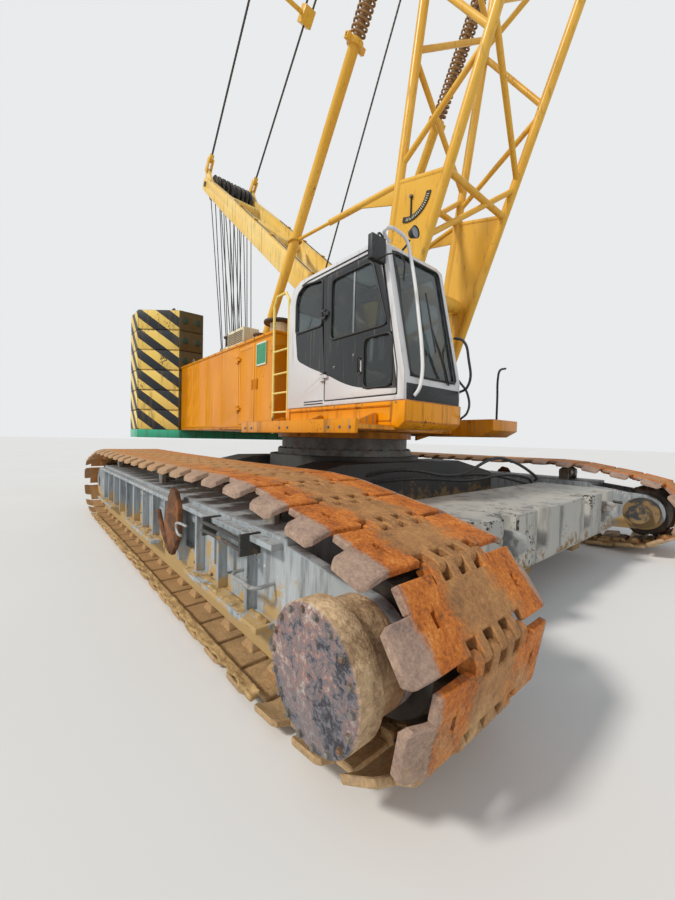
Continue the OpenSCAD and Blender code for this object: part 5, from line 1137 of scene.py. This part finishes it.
bpy.ops.object.mode_set(mode="EDIT")
pick(mirror, lambda c, n: n.x < -0.9)
bpy.ops.mesh.inset(thickness=0.014)
extrude(0.008, 0, 0)
bpy.ops.object.mode_set(mode="OBJECT")
for face in mirror.data.polygons:
    face.material_index = 1 if face.normal.x < -0.9 and face.area > 0.035 else 0
mirror.data.materials.append(mirror_black)
mirror.data.materials.append(mirror_face)
bevelled(mirror, 0.012, 3)
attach(mirror, "upper")
hose("mirror_bracket", [(2.42, -1.69, 3.40), (2.43, -1.73, 3.46), (2.435, -1.79, 3.47), (2.435, -1.80, 3.44)],
     0.010, latch_black, "upper")
hose("mirror_stay", [(2.44, -1.80, 3.22), (2.55, -1.78, 3.24), (2.66, -1.72, 3.20), (2.612, -1.62, 3.03)],
     0.008, latch_black, "upper")
lamp_place = (2.50, -1.37, 3.60)
bpy.ops.mesh.primitive_cylinder_add(vertices=28, radius=0.062, depth=0.07, location=lamp_place)
lamp_body = bpy.context.object
lamp_body.name = "work_lamp"
bpy.ops.object.transform_apply(location=True)
only(lamp_body)
bpy.ops.object.mode_set(mode="EDIT")
bpy.ops.mesh.select_all(action="SELECT")
bpy.ops.transform.rotate(value=math.radians(90), orient_axis="Y", center_override=lamp_place)
pick(lamp_body, lambda c, n: abs(n.x) > 0.9 and c.x < 2.48)
bpy.ops.transform.resize(value=(1, 0.6, 0.6), center_override=(2.465, -1.37, 3.60))
pick(lamp_body, lambda c, n: abs(n.x) > 0.9 and c.x > 2.52)
bpy.ops.mesh.inset(thickness=0.008)
extrude(-0.012, 0, 0)
bpy.ops.object.mode_set(mode="OBJECT")
lens_glass = moulded("fluted_lamp_lens", "#7E8486", "#A4A8A6", 0.12, 60)
lamp_body.data.materials.append(mirror_black)
lamp_body.data.materials.append(lens_glass)
for face in lamp_body.data.polygons:
    face.material_index = 1 if face.normal.x > 0.9 and 2.515 < face.center.x < 2.53 else 0
bevelled(lamp_body, 0.003)
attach(lamp_body, "upper")
hose("lamp_foot", [(2.46, -1.37, 3.55), (2.42, -1.37, 3.51), (2.36, -1.37, 3.478)], 0.011, latch_black,
     "upper")
hose("left_bracket", [(2.62, -0.778, 2.66), (2.72, -0.770, 2.62), (2.794, -0.769, 2.42), (2.79, -0.769, 2.12),
                      (2.70, -0.778, 2.07)], 0.014, latch_black, "upper")
hose("left_cable", [(2.69, -0.775, 2.20), (2.78, -0.74, 2.05), (2.79, -0.75, 1.86), (2.72, -0.78, 1.78)],
     0.012, hose_rubber, "upper")
# screws low along both walls
copies("cab_screws", bolt(0.007, 0.006, bar_grey),
       [at(x, y, z) @ turn(way, "X") for y, z, way in ((cab_right, 1.90, 90), (cab_left, 1.95, -90))
        for x in (0.86, 1.30, 1.74, 2.18, 2.62)], "upper")


# Operator's seat: moulded foam under pale yellow vinyl, a cushion and a back with a sewn channel down each
# side, on a steel plinth. The consoles beside it are moulded black boxes with levers.
vinyl = moulded("pale_yellow_seat_vinyl", "#D9CF9A", "#BFB27A", 0.55, 12)
tree = vinyl.node_tree
grain = put(tree, "TexVoronoi", {"Scale": 180.0}, {"Vector": put(tree, "TexCoord").outputs["Object"]})
leather = put(tree, "Bump", {"Strength": 0.35, "Distance": 0.0015}, {"Height": grain.outputs["Distance"]})
tree.links.new(leather.outputs[0], tree.nodes["Principled BSDF"].inputs["Normal"])
for name, outline, half_wide, limit in (
    ("seat_cushion", [(1.44, 2.235), (1.86, 2.235), (1.915, 2.285), (1.885, 2.335), (1.70, 2.345),
                      (1.44, 2.325)], 0.222, 0.016),
    ("seat_back", [(1.365, 2.330), (1.445, 2.345), (1.330, 2.900), (1.262, 2.925), (1.245, 2.870)],
     0.215, 0.014),
):
    bpy.ops.mesh.primitive_circle_add(vertices=len(outline), radius=1, fill_type="NGON")
    pad = bpy.context.object
    pad.name = name
    for v, (x, z) in zip(pad.data.vertices, outline):
        v.co = (x, cab_middle - half_wide, z)
    bpy.ops.object.mode_set(mode="EDIT")
    bpy.ops.mesh.select_all(action="SELECT")
    extrude(0, 2 * half_wide, 0)
    bpy.ops.mesh.select_all(action="SELECT")
    bpy.ops.mesh.normals_make_consistent(inside=False)
    bpy.ops.object.mode_set(mode="OBJECT")
    bevelled(pad, 0.022, 3)
    grid = pad.modifiers.new("even_grid", "REMESH")
    grid.mode, grid.voxel_size = "VOXEL", 0.010
    only(pad)
    bpy.ops.object.modifier_apply(modifier=grid.name)
    before = [v.co.copy() for v in pad.data.vertices]
    cloth = pad.modifiers.new("stuffing", "CLOTH")
    cloth.settings.use_pressure = True
    cloth.settings.uniform_pressure_force = 4.0
    cloth.settings.effector_weights.gravity = 0.0
    for count in range(1, 21):
        bpy.context.scene.frame_set(count)
    only(pad)
    bpy.ops.object.modifier_apply(modifier=cloth.name)
    bpy.context.scene.frame_set(1)
    for v, home in zip(pad.data.vertices, before):
        move = v.co - home
        if move.length > limit:
            v.co = home + move * (limit / move.length)
    # the sewn channels pull the vinyl in by 7 mm, a hand's width from each side
    for v in pad.data.vertices:
        for seam in (cab_middle - half_wide * 0.62, cab_middle + half_wide * 0.62):
            pull = math.exp(-((v.co.y - seam) / 0.010) ** 2)
            v.co += (Vector((1.40, v.co.y, 2.28)) - v.co).normalized() * 0.007 * pull
    only(pad)
    smooth = pad.modifiers.new("smooth", "SUBSURF")
    smooth.levels = smooth.render_levels = 1
    bpy.ops.object.modifier_apply(modifier=smooth.name)
    bpy.ops.object.shade_smooth()
    paint(pad, vinyl)
    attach(pad, "upper")
plinth = block("seat_plinth", (1.64, cab_middle, 2.095), (0.32, 0.36, 0.258))
bpy.ops.object.mode_set(mode="EDIT")
pick(plinth, lambda c, n: abs(n.y) > 0.9)
bpy.ops.mesh.inset(thickness=0.03)
bpy.ops.transform.resize(value=(1, 0.94, 1))
bpy.ops.object.mode_set(mode="OBJECT")
paint(plinth, latch_black)
bevelled(plinth, 0.006)
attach(plinth, "upper")
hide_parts("operator_seat")
console_black = moulded("grained_black_console_plastic", "#2A2B2D", "#45454A", 0.6, 80)
dressed("cab_console", "upper", 0.014, console_black, console_black)
for k, (x, y) in enumerate(((1.98, -1.575), (1.86, -1.575), (1.98, -0.915), (1.86, -0.915))):
    hose(f"console_lever_{k}", [(x, y, 2.52), (x + 0.01, y, 2.60), (x + 0.015, y, 2.655)], 0.008, pin_steel,
         "upper")
    top = (x + 0.016, y, 2.668)
    bpy.ops.mesh.primitive_uv_sphere_add(segments=14, ring_count=9, radius=0.021, location=top)
    knob = bpy.context.object
    knob.name = f"lever_knob_{k}"
    bpy.ops.object.transform_apply(location=True)
    bpy.ops.object.mode_set(mode="EDIT")
    pick(knob, lambda c, n: n.z < 0)
    bpy.ops.transform.resize(value=(0.7, 0.7, 1.3), center_override=top)
    bpy.ops.object.mode_set(mode="OBJECT")
    bpy.ops.object.shade_smooth()
    paint(knob, mirror_black)
    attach(knob, "upper")


# Counterweights: two stacks of cast slabs on a green tray, sprayed with slanting black and yellow stripes on
# the outside. The faces towards the houses are olive, painted darker as shade, with green lifting stubs.
slab_high, stack_foot = 0.445, 1.66


def slant_stripes(tree, place, coat):
    """Stripes half a slab high falling towards the front, and the olive face in painted shade with its stubs.
    """
    axes = put(tree, "SeparateXYZ", {}, {"Vector": place})
    rise = put(tree, "Math", {"operation": "MULTIPLY_ADD", 1: 1 / slab_high, 2: -stack_foot / slab_high},
               {0: axes.outputs["Z"]})
    slant = put(tree, "Math", {"operation": "MULTIPLY_ADD", 1: 1.08 / slab_high},
                {0: axes.outputs["X"], 2: rise.outputs[0]})
    step = put(tree, "Math", {"operation": "FRACT"}, {0: slant.outputs[0]})
    step = put(tree, "Math", {"operation": "LESS_THAN", 1: 0.5}, {0: step.outputs[0]})
    fleck = put(tree, "TexNoise", {"Scale": 16.0, "Detail": 7.0, "Roughness": 0.75}, {"Vector": place})
    black = put(tree, "Mix", {"data_type": "RGBA", 6: linear("#1E2328"), 7: linear("#34363A")},
                {0: fleck.outputs[0]})
    banded = put(tree, "Mix", {"data_type": "RGBA"}, {0: step.outputs[0], 6: coat.outputs[2],
                                                      7: black.outputs[2]})
    # the face towards the houses: an olive colour painted darker as shade, with its stubs in green
    inner = put(tree, "Math", {"operation": "GREATER_THAN", 1: -3.752}, {0: axes.outputs["X"]})
    olive_darkened_as_shade = put(tree, "Mix", {"data_type": "RGBA", 6: linear("#3E3218"), 7: linear("#63502A")},
                {0: fleck.outputs[0]})
    faced = put(tree, "Mix", {"data_type": "RGBA"}, {0: inner.outputs[0], 6: banded.outputs[2],
                                                     7: olive_darkened_as_shade.outputs[2]})
    stub = put(tree, "Math", {"operation": "GREATER_THAN", 1: -3.734}, {0: axes.outputs["X"]})
    return put(tree, "Mix", {"data_type": "RGBA", 7: linear("#24402F")},
               {0: stub.outputs[0], 6: faced.outputs[2]})


striped_paint = worn_paint("striped_counterweight_paint", "#E8C766", "#EFD27A", "#5E4E34", "#4A4036",
                           dirty=0.55, chipped=0.55, rough=(0.4, 0.8), streak=(12, 12, 1.2), dent=0.006,
                           marking=slant_stripes)
striped_edge = worn_paint("rubbed_slab_arris", "#CFB265", "#A8925C", "#4A4032", "#3A342C", dirty=0.7,
                          chipped=0.9, marking=slant_stripes)
tray_green = worn_paint("green_tray_enamel", "#3FAE8A", "#52B898", "#5A5038", "#5E4632", dirty=0.6,
                        chipped=0.5, rough=(0.3, 0.7))
for node in ("counterweight_right", "counterweight_left"):
    dressed(node, "upper", 0.014, striped_paint, striped_edge)
dressed("counterweight_tray", "upper", 0.006, tray_green, tray_green)


# Mast: two box-section legs tied by tubes, welded plate in pale yellow paint, with the boom-hoist sheaves on
# one shaft between the tips. Grease has run from its pins.
boom_yellow = worn_paint("boom_yellow_enamel", "#E2AC36", "#EABC50", "#8A6632", "#7A5A3A", dirty=0.42,
                         chipped=0.32, rough=(0.3, 0.65), streak=(14, 14, 2.0), dent=0.004)
yellow_edge = worn_paint("rubbed_yellow_edge", "#C99A3E", "#E6B23E", "#7A5A30", "#6B4E32", dirty=0.6,
                         chipped=1.0)
sheave_iron = cast_iron("greased_sheave_iron", "#2E2C2A", "#4E4A44", "#6E5136", rough=0.5, rusty=0.3,
                        scale=12)
mast_yellow = worn_paint("pale_mast_enamel", "#E9C05C", "#F0D07E", "#6B5230", "#5E4A34", dirty=0.55,
                         chipped=0.4, rough=(0.3, 0.65), streak=(14, 14, 2.0), dent=0.004)
dressed("mast", "mast", 0.006, mast_yellow, yellow_edge)
paint(frame["nodes"]["mast_sheaves"], sheave_iron)
dressed("bridle_block", "upper", 0.006, boom_yellow, yellow_edge)
# a grease line on each leg, held by clips
mast_angle, mast_length = 40.6, 7.77
lean = math.radians(90 - mast_angle)
mast_along = Vector((-math.sin(lean), 0, math.cos(lean)))
mast_up = Vector((math.cos(lean), 0, math.sin(lean)))
for hand, side in hands:
    foot = Vector((mast_foot_x, side * 0.62, mast_foot_z))
    top = [foot + mast_along * s + mast_up * 0.200 for s in (1.3, 2.4, 3.6, 4.8, 5.7)]
    hose("mast_grease_line_" + hand,
         [(p.x, p.y + side * 0.03 * math.sin(3 * k), p.z) for k, p in enumerate(top)], 0.008, hose_rubber,
         "mast")
    for k, s in enumerate((1.6, 2.5, 3.4, 4.3, 5.2)):
        p = foot + mast_along * s + mast_up * 0.187
        flat_plate(f"mast_clip_{hand}_{k}", [(p.x - 0.03, p.z - 0.012), (p.x + 0.02, p.z + 0.032),
                                             (p.x + 0.035, p.z + 0.018), (p.x - 0.01, p.z - 0.026)],
                   p.y - 0.05, 0.10, yellow_edge, "mast", 0.003)


# Ropes of the boom hoist: sixteen falls of laid wire rope between the bridle's sheaves and the mast's, and
# one lead from the drum, beside the main hoist's lead up to the boom head. Steel strands, black with grease.
def laid_rope(name, a, b, radius, body=None, lay=9.0):
    """A straight rope with six strands: a lobed ring drawn along the line while it turns once in each lay."""
    a, b = Vector(a), Vector(b)
    ring = bpy.data.curves.new(name + "_ring", "CURVE")
    ring.dimensions = "2D"
    edge = ring.splines.new("POLY")
    edge.points.add(11)
    for k, knot in enumerate(edge.points):
        far = radius * (1.0 if k % 2 == 0 else 0.78)
        knot.co = (far * math.cos(math.pi * k / 6), far * math.sin(math.pi * k / 6), 0, 1)
    edge.use_cyclic_u = True
    section = bpy.data.objects.new(name + "_section", ring)
    bpy.context.scene.collection.objects.link(section)
    line = bpy.data.curves.new(name, "CURVE")
    line.dimensions = "3D"
    line.bevel_mode, line.bevel_object, line.use_fill_caps = "OBJECT", section, True
    run = line.splines.new("POLY")
    count = max(2, int((b - a).length / (2 * radius * lay / 6)))
    run.points.add(count)
    for k, knot in enumerate(run.points):
        knot.co = (*(a + (b - a) * k / count), 1)
        knot.tilt = math.radians(60) * k
    rope = bpy.data.objects.new(name, line)
    bpy.context.scene.collection.objects.link(rope)
    only(rope)
    bpy.ops.object.convert(target="MESH")
    rope = bpy.context.object
    rope.name = name
    bpy.data.objects.remove(section)
    paint(rope, greased_rope)
    if body:
        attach(rope, body)
    return rope


greased_rope = cast_iron("greased_laid_wire_rope", "#1F1D1B", "#5C574F", "#5E4630", rough=0.45, rusty=0.15,
                         scale=60)
mast_shaft = Vector((mast_foot_x, 0, mast_foot_z)) + mast_along * (mast_length - 0.18)
bridle_shaft = Vector((-4.25, 0, 2.48))
# the rope runs round sheaves of 0.278 m above and 0.262 m below, one row of falls on each side of them
upper_reach, lower_reach = 0.278, 0.262
upper_rows, lower_rows = (-0.45, -0.33, -0.21, -0.09, 0.09, 0.21, 0.33, 0.45), (-0.22, -0.11, 0.0, 0.11, 0.22)
for k, y in enumerate(upper_rows):
    for end, reach in (("rear", -1), ("front", 1)):
        low_y = lower_rows[(k + (reach > 0)) // 2] + 0.018 * reach
        fall = laid_rope(f"hoist_fall_{end}_{k}",
                         (bridle_shaft.x + reach * lower_reach, low_y, bridle_shaft.z),
                         (mast_shaft.x + reach * upper_reach, y, mast_shaft.z), 0.013, lay=10)
        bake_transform(fall)
laid_rope("boom_hoist_lead", (-2.60, 0.12, 2.71), (bridle_shaft.x + 0.10, 0.22, bridle_shaft.z + lower_reach),
          0.011, "upper")
head_shaft = Vector((6.760, 0, 19.586))
lead = laid_rope("main_hoist_lead", (-1.74, 0.05, 2.62), (head_shaft.x - 0.30, 0.11, head_shaft.z + 0.05),
                 0.017, lay=12)
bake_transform(lead)


# Boom: tubular chords and lacing welded to a lattice, in three pinned sections, all in the same yellow
# enamel. The lower section has solid foot plates with the angle scale on the right one.
tube_yellow = worn_paint("yellow_tube_enamel", "#DDA636", "#E6B750", "#8A6632", "#7A5A3A", dirty=0.38,
                         chipped=0.34, rough=(0.3, 0.65), streak=(20, 20, 3.0), dent=0.001)
for node in ("boom_butt", "boom_insert", "boom_top", "jib_lugs"):
    paint(frame["nodes"][node], tube_yellow)
paint(frame["nodes"]["boom_sheaves"], sheave_iron)
scale_dark = worn_paint("black_scale_enamel", "#2B2C2C", "#3B3B39", "#6B5E46", "#8A7446", dirty=0.6,
                        chipped=0.6)
scale_cream = moulded("cream_scale_mark", "#E2DCC2", "#C6BE9E", 0.5)
paint(frame["nodes"]["angle_plate"], scale_dark)
boom_foot = Vector((boom_foot_x, 0, boom_foot_z))
boom_up, boom_ahead = Vector((0.2588, 0, 0.9659)), Vector((0.9659, 0, -0.2588))


def on_boom(ahead_by, y, station):
    """A point in the boom's own measures: towards its front chords, across, and up from the foot pin."""
    p = boom_foot + boom_ahead * ahead_by + boom_up * station
    return Vector((p.x, y, p.z))


boom_turn = Matrix((
    (boom_ahead.x, 0, boom_up.x, 0), (0, 1, 0, 0), (boom_ahead.z, 0, boom_up.z, 0), (0, 0, 0, 1)))
# marks on the scale, one each five degrees, and the pointer's screw; no numbers
mark = block("mark", (0, 0, 0), (0.034, 0.003, 0.007))
bpy.ops.object.mode_set(mode="EDIT")
pick(mark, lambda c, n: n.x < -0.9)
bpy.ops.transform.resize(value=(1, 1, 0.5))
bpy.ops.object.mode_set(mode="OBJECT")
paint(mark, scale_cream)
pivot = on_boom(-0.07, -0.7155, 2.48)
scale_radius = 0.262
copies("scale_marks", mark, [at(*pivot) @ boom_turn @ turn(5 * k + 4, "Y") @ at(scale_radius, 0, 0)
                             for k in range(18)], "boom")
copies("pointer_screw", bolt(0.016, 0.012, bolt_steel), [at(pivot.x, -0.727, pivot.z) @ turn(90, "X")],
       "boom")
# pins through the section joints, with their heads and split pins outside
pin_places = []
for station in (7.62, 10.67):
    for side in (-1, 1):
        for across in (-0.90, 0.90):
            pin_places.append(at(*on_boom(across, side * 0.745, station)) @ turn(-90 * side, "X"))
copies("section_pins", bolt(0.042, 0.030, pin_steel), pin_places, "boom")
foot_places = [at(boom_foot_x, side * 0.7565, boom_foot_z) @ turn(-90 * side, "X") for side in (-1, 1)]
copies("foot_pin_heads", bolt(0.030, 0.012, pin_steel), foot_places, "upper")
# brace from the rear chords at the first ring to the backstop tubes, with a gusset on the chord
back_seat = Vector((-0.90, 1.09, 3.27))
back_top = Vector((2.365, 0.83, 9.127))
for hand, side in hands:
    flip = Vector((1, side, 1))
    seat, head = back_seat * flip, back_top * flip
    grip = seat + (head - seat) * 0.235
    chord = on_boom(-0.345, side * 0.67, 2.69)
    hose("backstop_brace_" + hand, [tuple(chord), tuple(chord + (grip - chord) * 0.62)], 0.042, tube_yellow,
         "boom", 16, straight=True)
    hose("backstop_brace_end_" + hand, [tuple(chord + (grip - chord) * 0.61), tuple(grip)], 0.024,
         tube_yellow, "boom", 16, straight=True)
    a, b, c = on_boom(-0.30, 0, 2.74), on_boom(-0.36, 0, 2.44), chord + (grip - chord) * 0.34
    gusset = flat_plate("brace_gusset_" + hand,
                        [(a.x, a.z), (b.x, b.z), (c.x, c.z - 0.03), (c.x, c.z + 0.02)],
                        side * 0.67 - 0.012, 0.024, tube_yellow, "boom", 0.003)
    for v in gusset.data.vertices:
        v.co.y += (grip.y - chord.y) * (chord.x - v.co.x) / (chord.x - grip.x)
    corners = [tuple(grip + Vector((0.088 * x, 0.088 * y, 0)))
               for x, y in ((-1, -1), (1, -1), (1, 1), (-1, 1))]
    hose("brace_collar_" + hand, rounded(corners, 0.06), 0.018, yellow_edge, "boom", 8,
         straight=True, closed=True)


# Backstops: a tube that rests on the roof seat, a collar with two square lugs, and a heavy coil spring round
# the inner rod up to the boom's rear chord. Springs and rods are bare steel gone rusty brown.
spring_brown = cast_iron("rusty_coil_spring_steel", "#77593C", "#B08D60", "#94683C", rough=0.7, rusty=0.6,
                         scale=22)
for hand, side in hands:
    flip = Vector((1, side, 1))
    seat, head = back_seat * flip, back_top * flip
    run = head - seat
    length, way = run.length, run.normalized()
    collar = length * 0.6
    stand = Matrix.Translation(seat) @ way.to_track_quat("Z", "Y").to_matrix().to_4x4()
    # outer tube with its foot pad and collar: one ring drawn up along the line
    bpy.ops.mesh.primitive_circle_add(vertices=36, radius=0.105, fill_type="NGON")
    tube = bpy.context.object
    tube.name = "backstop_tube_" + hand
    bpy.ops.object.mode_set(mode="EDIT")
    bpy.ops.mesh.select_all(action="SELECT")
    steps = ((0.060, 1.0), (0.0, 0.714), (collar - 0.060, 1.0), (0.0, 1.48), (0.070, 1.0), (0.0, 0.50),
             (length * 0.4 - 0.13, 1.0), (0.0, 1.90), (0.06, 1.0))
    height = 0.0
    for lift, size in steps:
        extrude(0, 0, lift)
        height += lift
        bpy.ops.transform.resize(value=(size, size, 1), center_override=(0, 0, height))
    bpy.ops.mesh.select_all(action="SELECT")
    bpy.ops.mesh.remove_doubles(threshold=0.0001)
    bpy.ops.mesh.normals_make_consistent(inside=False)
    bpy.ops.object.mode_set(mode="OBJECT")
    paint(tube, tube_yellow, spring_brown)
    for face in tube.data.polygons:
        face.material_index = 1 if collar + 0.08 < face.center.z < length - 0.07 else 0
    tube.data.transform(stand)
    bevelled(tube, 0.004)
    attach(tube, "boom")
    # the spring, with its ends closed on their cups
    first, last, turns, knots = collar + 0.085, length * 0.92 + 0.03, 32, 14
    coil = []
    for k in range(turns * knots + 1):
        a, t = 2 * math.pi * k / knots, k / (turns * knots)
        coil.append(stand @ Vector((0.098 * math.cos(a), 0.098 * math.sin(a), first + (last - first) * t)))
    spring = hose("backstop_spring_" + hand, [tuple(p) for p in coil], 0.015, spring_brown, "boom",
                  8, straight=True)
    spring.data.shade_smooth()
    # cup at the spring's top, the eye on the chord, and the two guide lugs on the collar
    bpy.ops.mesh.primitive_cylinder_add(vertices=32, radius=0.118, depth=0.04, location=(0, 0, last + 0.02))
    cup = bpy.context.object
    cup.name = "spring_cup_" + hand
    bpy.ops.object.transform_apply(location=True)
    bpy.ops.object.mode_set(mode="EDIT")
    pick(cup, lambda c, n: n.z < -0.9)
    bpy.ops.mesh.inset(thickness=0.012)
    extrude(0, 0, 0.012)
    bpy.ops.object.mode_set(mode="OBJECT")
    cup.data.transform(stand)
    paint(cup, yellow_edge)
    bevelled(cup, 0.003)
    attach(cup, "boom")
    hose("backstop_eye_" + hand, [(head.x, side * y, head.z) for y in (0.732, 0.80, 0.918)], 0.065,
         tube_yellow, "boom", 24, straight=True)
    lug = block("lug", (0, 0, 0), (0.085, 0.070, 0.075))
    bpy.ops.object.mode_set(mode="EDIT")
    pick(lug, lambda c, n: n.x > 0.9)
    bpy.ops.mesh.inset(thickness=0.015)
    extrude(-0.020, 0, 0)
    bpy.ops.object.mode_set(mode="OBJECT")
    paint(lug, tube_yellow)
    bevelled(lug, 0.004)
    copies("collar_lugs_" + hand, lug, [stand @ turn(a, "Z") @ at(0.128, 0, collar + 0.035)
                                        for a in (0, 180)], "boom")
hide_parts("backstops")


# Pendants: laid steel ropes as thick as a wrist between the mast's tips and the boom head, with plate links
# painted yellow. They are in fixed lengths, so nothing along them moves.
mast_tip = Vector((-4.907, 0.62, 8.387))
boom_pin = Vector((5.668, 0.67, 19.837))
stay_way = (boom_pin - mast_tip).normalized()
pendant_radius = 0.026
for hand, side in hands:
    flip = Vector((1, side, 1))
    low_end, high_end = mast_tip + stay_way * 0.42, mast_tip + stay_way * 3.59
    laid_rope("lower_pendant_" + hand, low_end * flip, high_end * flip, pendant_radius, "boom",
                           lay=8)
    for k, y in enumerate((-0.09, 0.09)):
        a, b = mast_tip + stay_way * 3.90 + Vector((0, y, 0)), boom_pin - stay_way * 0.43 + Vector((0, y, 0))
        laid_rope(f"upper_pendant_{hand}_{k}", a * flip, b * flip, pendant_radius, "boom",
                               lay=8)
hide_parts("pendants")
dressed("pendant_links", "boom", 0.005, boom_yellow, yellow_edge)


# Hook block: cast cheek plates with weights, two sheaves and a forged swivel hook, hung on four falls of
# rope.
hook_yellow = worn_paint("chipped_hook_block_yellow", "#E0A92E", "#EAC052", "#6B4E2A", "#5A4632", dirty=0.6,
                         chipped=0.9, rough=(0.35, 0.7))
dressed("hook_block", "hook_block", 0.006, hook_yellow, yellow_edge)
block_x, block_z = 6.760, 17.286
for hand, side in hands:
    copies("cheek_bolts_" + hand, bolt(0.018, 0.018, bolt_steel),
           [at(block_x + x, side * 0.200, block_z + z) @ turn(-90 * side, "X")
            for x, z in ((-0.12, 0.26), (0.12, 0.26), (-0.14, -0.34), (0.14, -0.34), (-0.24, 0.0),
                         (0.24, 0.0))], "hook_block")
